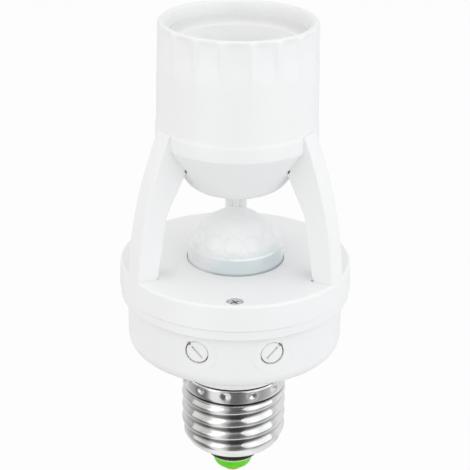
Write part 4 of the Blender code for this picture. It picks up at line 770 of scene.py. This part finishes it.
def cross_screw(name, head_foot, length):
    """A screw on the Z axis: a domed head with a cross recess, a neck and a thread of plain rings."""
    radius = SCREW_RADIUS
    top = head_foot + HEAD_HEIGHT
    outline = [(0.0, head_foot - length, 0.0), (radius, head_foot - length + radius, 0.0)]
    for ring in range(int((length - 2.0 * radius) / RING_PITCH)):
        foot = head_foot - length + radius + ring * RING_PITCH
        outline += [(radius, foot + 0.0001, 0.0), (radius - 0.0002, foot + 0.00045, 0.0)]
    outline += [(radius, head_foot - 0.0008, 0.0), (radius, head_foot, 0.0), (HEAD_RADIUS, head_foot, 0.0),
                (HEAD_RADIUS, top, 0.0006), (0.0, top, 0.0)]
    screw = turned_piece(name, eased(outline), 36, zinc_steel)
    for length_x, length_y in ((0.0023, 0.00042), (0.00042, 0.0023)):
        bpy.ops.mesh.primitive_cube_add(size=1.0, location=(0.0, 0.0, 0.0))
        slot_cutter = bpy.context.object
        slot_cutter.data.transform(Matrix.Translation((0.0, 0.0, top))
                                   @ Matrix.Diagonal((length_x, length_y, 0.0012, 1.0)))
        cut(screw, slot_cutter)
    return screw


for number, (azimuth, turn) in enumerate(zip(SCREW_AZIMUTHS, (32.0, 11.0, 67.0))):
    screw = cross_screw(f"cover_cross_screw_{number + 1}", 0.0595, 0.0105)
    set_in_place(screw, out_at(azimuth, SCREW_CIRCLE) @ Matrix.Rotation(math.radians(turn), 4, "Z"))
    settle_shading(screw)
    dress(screw, "holder", "steel", f"cover_screw_{number + 1}")


# Sensor dome: thin milky polyethylene, moulded as a half sphere with rows of small round lenses. A step ends
# them below, a clearer band is left round the foot, and a flange holds the dome under the plate.
# Painted light: the dome glows faintly, for light coming through the milky plastic; the band glows less and
# bluer.
dome_plastic, place, shader = start_finish("milky_dome", IOR=1.5, Emission_Strength=0.12)
level = place.part(2)
# Painted shade: the clearer band is coloured darker and bluer, most towards the front.
front_shade_mask = (place.part(0) * 0.45 - place.part(1)).step(0.0048, 0.0098, 0.45, 1.0)
# Painted highlight: a thin pale line along the ledge, strongest to the front right.
painted_glint_mask = (place.part(0) * 0.50 - place.part(1)).step(0.0098, 0.0116, 0.25, 1.0)
band = (0.75 - level.step(0.0640, 0.0646, 0.0, 0.3) - level.step(0.0645, 0.0672, 0.0, 0.45)) * front_shade_mask * 1.33
painted_ledge_highlight = level.step(0.0643, 0.0645) * level.step(0.0648, 0.0650, 1.0, 0.0) * painted_glint_mask
from_lens = place.node("ShaderNodeAttribute", {"attribute_name": "lens_edge"}, {}, 2)
# Painted shade: the rims of the lenses are coloured darker, fainter on the upper rows.
painted_lens_rim_shade = from_lens.step(1.6, 2.1) * from_lens.step(2.2, 2.7, 1.0, 0.0) * level.step(0.0690, 0.0702, 1.0, 0.35)
haze = place.noise(160.0, 2.0)
milk = haze.colours([(0.35, (0.755, 0.762, 0.760)), (0.65, (0.770, 0.776, 0.774))])
milk = painted_lens_rim_shade.blend(milk, (0.728, 0.738, 0.739, 1.0))
foot = front_shade_mask.step(0.55, 1.0).blend((0.585, 0.592, 0.600, 1.0), (0.560, 0.612, 0.622, 1.0))
# Painted shade: the band's lowest edge, next to the plate, is coloured darker still.
foot = level.step(0.0609, 0.0614, 0.7, 0.0).blend(foot, (0.30, 0.32, 0.325, 1.0))
feed(shader, Base_Color=painted_ledge_highlight.blend(band.blend(milk, foot), (0.80, 0.83, 0.84, 1.0)),
     Emission_Color=band.blend((1.0, 1.0, 0.995, 1.0), (0.62, 0.70, 0.72, 1.0)),
     Roughness=place.noise(600.0).step(0.3, 0.7, 0.40, 0.50) - band * 0.28,
     Bump=place.noise(500.0, 2.0) * 0.000008)

DOME_CENTRE = 0.0609
DOME_RADIUS = 0.0117
DOME_INSIDE = 0.0107
LEDGE_STEP = 0.00012
LEDGE_ELEVATION = 19.5
DOME_FLANGE_RADIUS = 0.0138
DOME_FLANGE_TOP = 0.0585
DOME_FLANGE_FOOT = 0.0574
LENS_ROWS = ((12, 35.0), (7, 60.0), (1, 90.0))
FIRST_LENS = 266.0
LENS_RADIUS = 0.0023
LENS_HEIGHT = 0.00036
UPPER_LENS_LOSS = 0.00016
NO_LENS = 9.0


def on_sphere(radius, elevation):
    """Radius and height of a point of a sphere about the dome's centre."""
    rise = math.radians(elevation)
    return radius * math.cos(rise), DOME_CENTRE + radius * math.sin(rise)


dome_profile = [(0.0, DOME_CENTRE + DOME_RADIUS + LEDGE_STEP)]
for elevation in range(89, -1, -1):
    ledge = max(0.0, min(1.0, (elevation - LEDGE_ELEVATION) / 2.0))
    dome_profile.append(on_sphere(DOME_RADIUS + LEDGE_STEP * ledge, elevation))
dome_profile += [(DOME_RADIUS, DOME_FLANGE_TOP), (DOME_FLANGE_RADIUS, DOME_FLANGE_TOP),
                 (DOME_FLANGE_RADIUS, DOME_FLANGE_FOOT), (DOME_INSIDE, DOME_FLANGE_FOOT)]
dome_profile += [on_sphere(DOME_INSIDE, elevation) for elevation in range(0, 90, 10)]
dome_profile.append((0.0, DOME_CENTRE + DOME_INSIDE))
dome = turned_piece("lens_dome", dome_profile, 216, dome_plastic, 60.0)
lenses = []
for count, elevation in LENS_ROWS:
    for number in range(count):
        turn = math.radians(FIRST_LENS) + 2.0 * math.pi * number / count
        rise = math.radians(elevation)
        out = math.cos(rise)
        lenses.append(Vector((out * math.cos(turn), out * math.sin(turn), math.sin(rise))))
centre = Vector((0.0, 0.0, DOME_CENTRE))
lens_edge = dome.data.attributes.new("lens_edge", "FLOAT", "POINT")
for vert in dome.data.vertices:
    lens_edge.data[vert.index].value = NO_LENS
    offset = vert.co - centre
    if offset.z > 0.0 and offset.length > DOME_RADIUS - 0.0003:
        unit = offset.normalized()
        distance = min((unit - lens).length for lens in lenses) * DOME_RADIUS
        upper = max(0.0, min(1.0, (vert.co.z - 0.0690) / 0.0015))
        height = LENS_HEIGHT - UPPER_LENS_LOSS * upper
        vert.co += unit * height * max(0.0, 1.0 - (distance / LENS_RADIUS) ** 2)
        lens_edge.data[vert.index].value = distance * 1000.0
dress(dome, "holder", "lens_plastic", "dome_lens")


# Lamp wires: white and blue insulation, drawn as one solid with the copper in it. They run from the board up
# the open channels of two arms, turn in through the ports of the bowl and end under the insert.
WIRE_RADIUS = 0.00098


def insulation(name, low, high):
    """Soft drawn insulation with faint lengthwise streaks."""
    finish, place, shader = start_finish(name, IOR=1.5)
    feed(shader, Base_Color=place.noise(600.0, 3.0, (1.0, 1.0, 0.1)).colours([(0.3, low), (0.7, high)]),
         Roughness=place.noise(1200.0).step(0.3, 0.7, 0.38, 0.52), Bump=place.noise(2200.0) * 0.00001)
    return finish


def wire_along(name, radius, route, finish):
    """A round wire on a smooth curve through its route."""
    data = bpy.data.curves.new(name, "CURVE")
    data.dimensions = "3D"
    data.bevel_depth = radius
    data.bevel_resolution = 4
    data.resolution_u = 8
    data.use_fill_caps = True
    spline = data.splines.new("BEZIER")
    spline.bezier_points.add(len(route) - 1)
    for point, place in zip(spline.bezier_points, route):
        point.co = place
        point.handle_left_type = "AUTO"
        point.handle_right_type = "AUTO"
    wire = bpy.data.objects.new(name, data)
    bpy.context.scene.collection.objects.link(wire)
    wire.data.materials.append(finish)
    bpy.ops.object.select_all(action="DESELECT")
    bpy.context.view_layer.objects.active = wire
    wire.select_set(True)
    bpy.ops.object.convert(target="MESH")
    bpy.ops.object.mode_set(mode="EDIT")
    bpy.ops.mesh.select_all(action="SELECT")
    bpy.ops.mesh.remove_doubles(threshold=1e-6)
    bpy.ops.object.mode_set(mode="OBJECT")
    bpy.ops.object.shade_smooth_by_angle(angle=math.radians(40.0))
    return bpy.context.object


white_insulation = insulation("white_insulation", (0.80, 0.80, 0.79), (0.86, 0.86, 0.85))
blue_insulation = insulation("blue_insulation", (0.03, 0.12, 0.42), (0.06, 0.18, 0.52))
wire_route = [(0.02247, 0.0537), (0.02247, 0.0565), (0.02465, PLATE_TOP)]
wire_route += [(0.0226, 0.0643), (0.0214, 0.0700), (0.0203, 0.0753), (0.0187, 0.0804), (0.0170, 0.0846)]
wire_route += [(0.0153, 0.08695), (0.0121, 0.08695), (0.0090, 0.08785), (0.0087, 0.0897)]
for wire_name, azimuth, slot_name, finish in (("lamp_live_wire", 90.0, "wire_white", white_insulation),
                                              ("lamp_neutral_wire", 330.0, "wire_blue", blue_insulation)):
    angle = math.radians(azimuth)
    route = [(r * math.cos(angle), r * math.sin(angle), z) for r, z in wire_route]
    wire = wire_along(wire_name.replace("wire", "lead"), WIRE_RADIUS, route, finish)
    dress(wire, "holder", slot_name, wire_name)


# Socket insert: heat-proof off-white moulding that stands in the cup, with a flat floor for the contacts. Its
# rim is the step seen just inside the cup's mouth. The rim is painted greyer as painted shade, and the insert
# below it glows with painted light, for light that comes through the wall.
SOCKET_SCREW_PLACE = 0.0078
INSERT_RADIUS = 0.01622
INSERT_BORE = 0.01455
INSERT_FOOT = 0.0903
INSERT_FLOOR = 0.0938
INSERT_TOP = 0.1174
RIM_INSIDE = 0.01595
heat_proof, place, shader = start_finish("heat_proof_moulding", IOR=1.5, Emission_Strength=0.20)
grain = place.noise(1600.0, 4.0)
# Painted light: below the rim the insert is coloured lighter and glows; the rim is painted greyer as painted
# shade.
painted_light_below_rim = place.part(2).step(0.1140, 0.1168, 1.0, 0.0)
ivory = grain.colours([(0.3, (0.840, 0.840, 0.840)), (0.7, (0.870, 0.870, 0.868))])
feed(shader, Base_Color=painted_light_below_rim.blend((0.79, 0.79, 0.79, 1.0), ivory),
     Emission_Color=painted_light_below_rim.blend(BLACK, (0.93, 0.95, 0.95, 1.0)),
     Roughness=place.noise(700.0).step(0.3, 0.7, 0.42, 0.58), Bump=grain * 0.00002)
insert_profile = eased([(0.0, INSERT_FOOT, 0.0), (INSERT_RADIUS, INSERT_FOOT, 0.0),
                        (INSERT_RADIUS, INSERT_TOP, 0.0001), (RIM_INSIDE, INSERT_TOP, 0.0001),
                        (INSERT_BORE, 0.1150, 0.0006), (INSERT_BORE, INSERT_FLOOR, 0.0006),
                        (0.0, INSERT_FLOOR, 0.0)])
insert = turned_piece("insert_moulding", insert_profile, 144, heat_proof)
for side in (-1.0, 1.0):
    hole = rod("hole", 0.0012, 0.0895, 0.0945, 32, heat_proof)
    set_in_place(hole, Matrix.Translation((SOCKET_SCREW_PLACE * side, 0.0, 0.0)))
    cut(insert, hole)
settle_shading(insert)
dress(insert, "holder", "ceramic", "socket_insert")


# Threaded sleeve of the socket: nickel-plated sheet rolled with the lamp's thread, standing on its turned-in
# foot inside the insert.
SLEEVE_FOOT = 0.0941
SLEEVE_TOP = 0.1106
SLEEVE_FOOT_INSIDE = 0.0105
foot_top = SLEEVE_FOOT + SHEET
sleeve_inside = [(SLEEVE_FOOT_INSIDE, SLEEVE_FOOT), (SLEEVE_FOOT_INSIDE, foot_top)]
sleeve_inside += [(MIDDLE_RADIUS, foot_top + (SLEEVE_TOP - foot_top) * step / 60) for step in range(61)]
sleeve_outside = [(radius + SHEET, height) for radius, height in sleeve_inside[2:]]
sleeve_outside[0] = (MIDDLE_RADIUS + SHEET, SLEEVE_FOOT)
sleeve = turned_piece("threaded_sleeve", sleeve_inside + sleeve_outside[::-1] + sleeve_inside[:1], 120,
                      bright_nickel, 40.0)
for vert in sleeve.data.vertices:
    radius = math.hypot(vert.co.x, vert.co.y)
    rise = max(0.0, min(1.0, (vert.co.z - SLEEVE_FOOT - 0.0006) / 0.0025))
    fade = max(0.0, min(1.0, (SLEEVE_TOP - vert.co.z) / 0.0015))
    if radius > 0.0120:
        wave = thread_wave(math.atan2(vert.co.y, vert.co.x), vert.co.z, SLEEVE_FOOT + PITCH)
        grown = radius - WAVE * rise * fade * wave
        vert.co.x *= grown / radius
        vert.co.y *= grown / radius
dress(sleeve, "holder", "nickel", "socket_shell")


# Centre tongue of the socket: a strip of spring brass, riveted flat at one end and bent up at the other to
# press on the lamp's end contact.
TONGUE_WIDTH = 0.0040
tongue_under = [(-0.0050, SLEEVE_FOOT), (-0.0017, SLEEVE_FOOT), (0.0, 0.0963), (0.0025, 0.09586)]
tongue_over = [(x, z + SHEET) for x, z in tongue_under]
tongue = slab("spring_tongue", tongue_under + tongue_over[::-1], TONGUE_WIDTH, 1, polished_brass)
bend = tongue.modifiers.new("bend", "BEVEL")
bend.width = 0.00012
bend.segments = 2
bend.limit_method = "ANGLE"
bend.angle_limit = math.radians(20.0)
bpy.ops.object.modifier_apply(modifier=bend.name)
set_in_place(tongue, Matrix.Rotation(math.radians(90.0), 4, "Z"))
settle_shading(tongue)
dress(tongue, "holder", "brass", "socket_tongue")


# Socket screws: two more of the small cross-head screws. They go through the insert's floor into the bosses
# in the bowl and hold the insert down.
for number, side in enumerate((-1.0, 1.0)):
    screw = cross_screw(f"socket_cross_screw_{number + 1}", SLEEVE_FOOT, 0.0080)
    set_in_place(screw, Matrix.Translation((SOCKET_SCREW_PLACE * side, 0.0, 0.0))
                 @ Matrix.Rotation(math.radians(24.0 + 50.0 * number), 4, "Z"))
    settle_shading(screw)
    dress(screw, "holder", "steel", f"socket_screw_{number + 1}")


# What the closed housing hides: the board with its sensor, relay, capacitors and wires. The solids are right
# as they are and get the finish of the real parts.
def plain_finish(name, low, high, rough, scale=900.0, metal=0.0):
    """Colour between two shades over the piece, with a fine bump."""
    finish, place, shader = start_finish(name, Metallic=metal)
    feed(shader, Base_Color=place.noise(scale).colours([(0.3, low), (0.7, high)]),
         Roughness=place.noise(scale * 2.0).step(0.3, 0.7, rough - 0.06, rough + 0.06),
         Bump=place.noise(scale * 3.0) * 0.00001)
    return finish


board_mask = plain_finish("board_mask", (0.02, 0.17, 0.06), (0.04, 0.24, 0.09), 0.36, 250.0)
tinned_steel = plain_finish("tinned_steel", (0.50, 0.50, 0.49), (0.62, 0.62, 0.61), 0.30, 900.0, 1.0)
dark_epoxy = plain_finish("dark_epoxy", (0.018, 0.018, 0.020), (0.035, 0.035, 0.036), 0.45)
blue_case = plain_finish("blue_case", (0.02, 0.07, 0.34), (0.04, 0.11, 0.44), 0.35)
red_dip = plain_finish("red_dip", (0.36, 0.05, 0.03), (0.48, 0.08, 0.05), 0.30)
hidden_finishes = {
    board_mask: ["circuit_board"],
    tinned_steel: ["pir_sensor", "board_screw_1", "board_screw_2"],
    dark_epoxy: ["sensor_window", "smoothing_capacitor", "controller_chip", "rectifier_diode_1",
                 "rectifier_diode_2", "rectifier_diode_3", "rectifier_diode_4"],
    blue_case: ["relay", "time_trimmer", "lux_trimmer"],
    red_dip: ["film_capacitor", "photocell"],
    white_plastic: ["lens_retainer", "sensor_spacer"],
    white_insulation: ["contact_wire"],
    blue_insulation: ["shell_wire", "resistor_1", "resistor_2", "resistor_3", "resistor_4"],
}
for finish, node_names in hidden_finishes.items():
    for node_name in node_names:
        for material_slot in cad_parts[node_name].material_slots:
            material_slot.material = finish
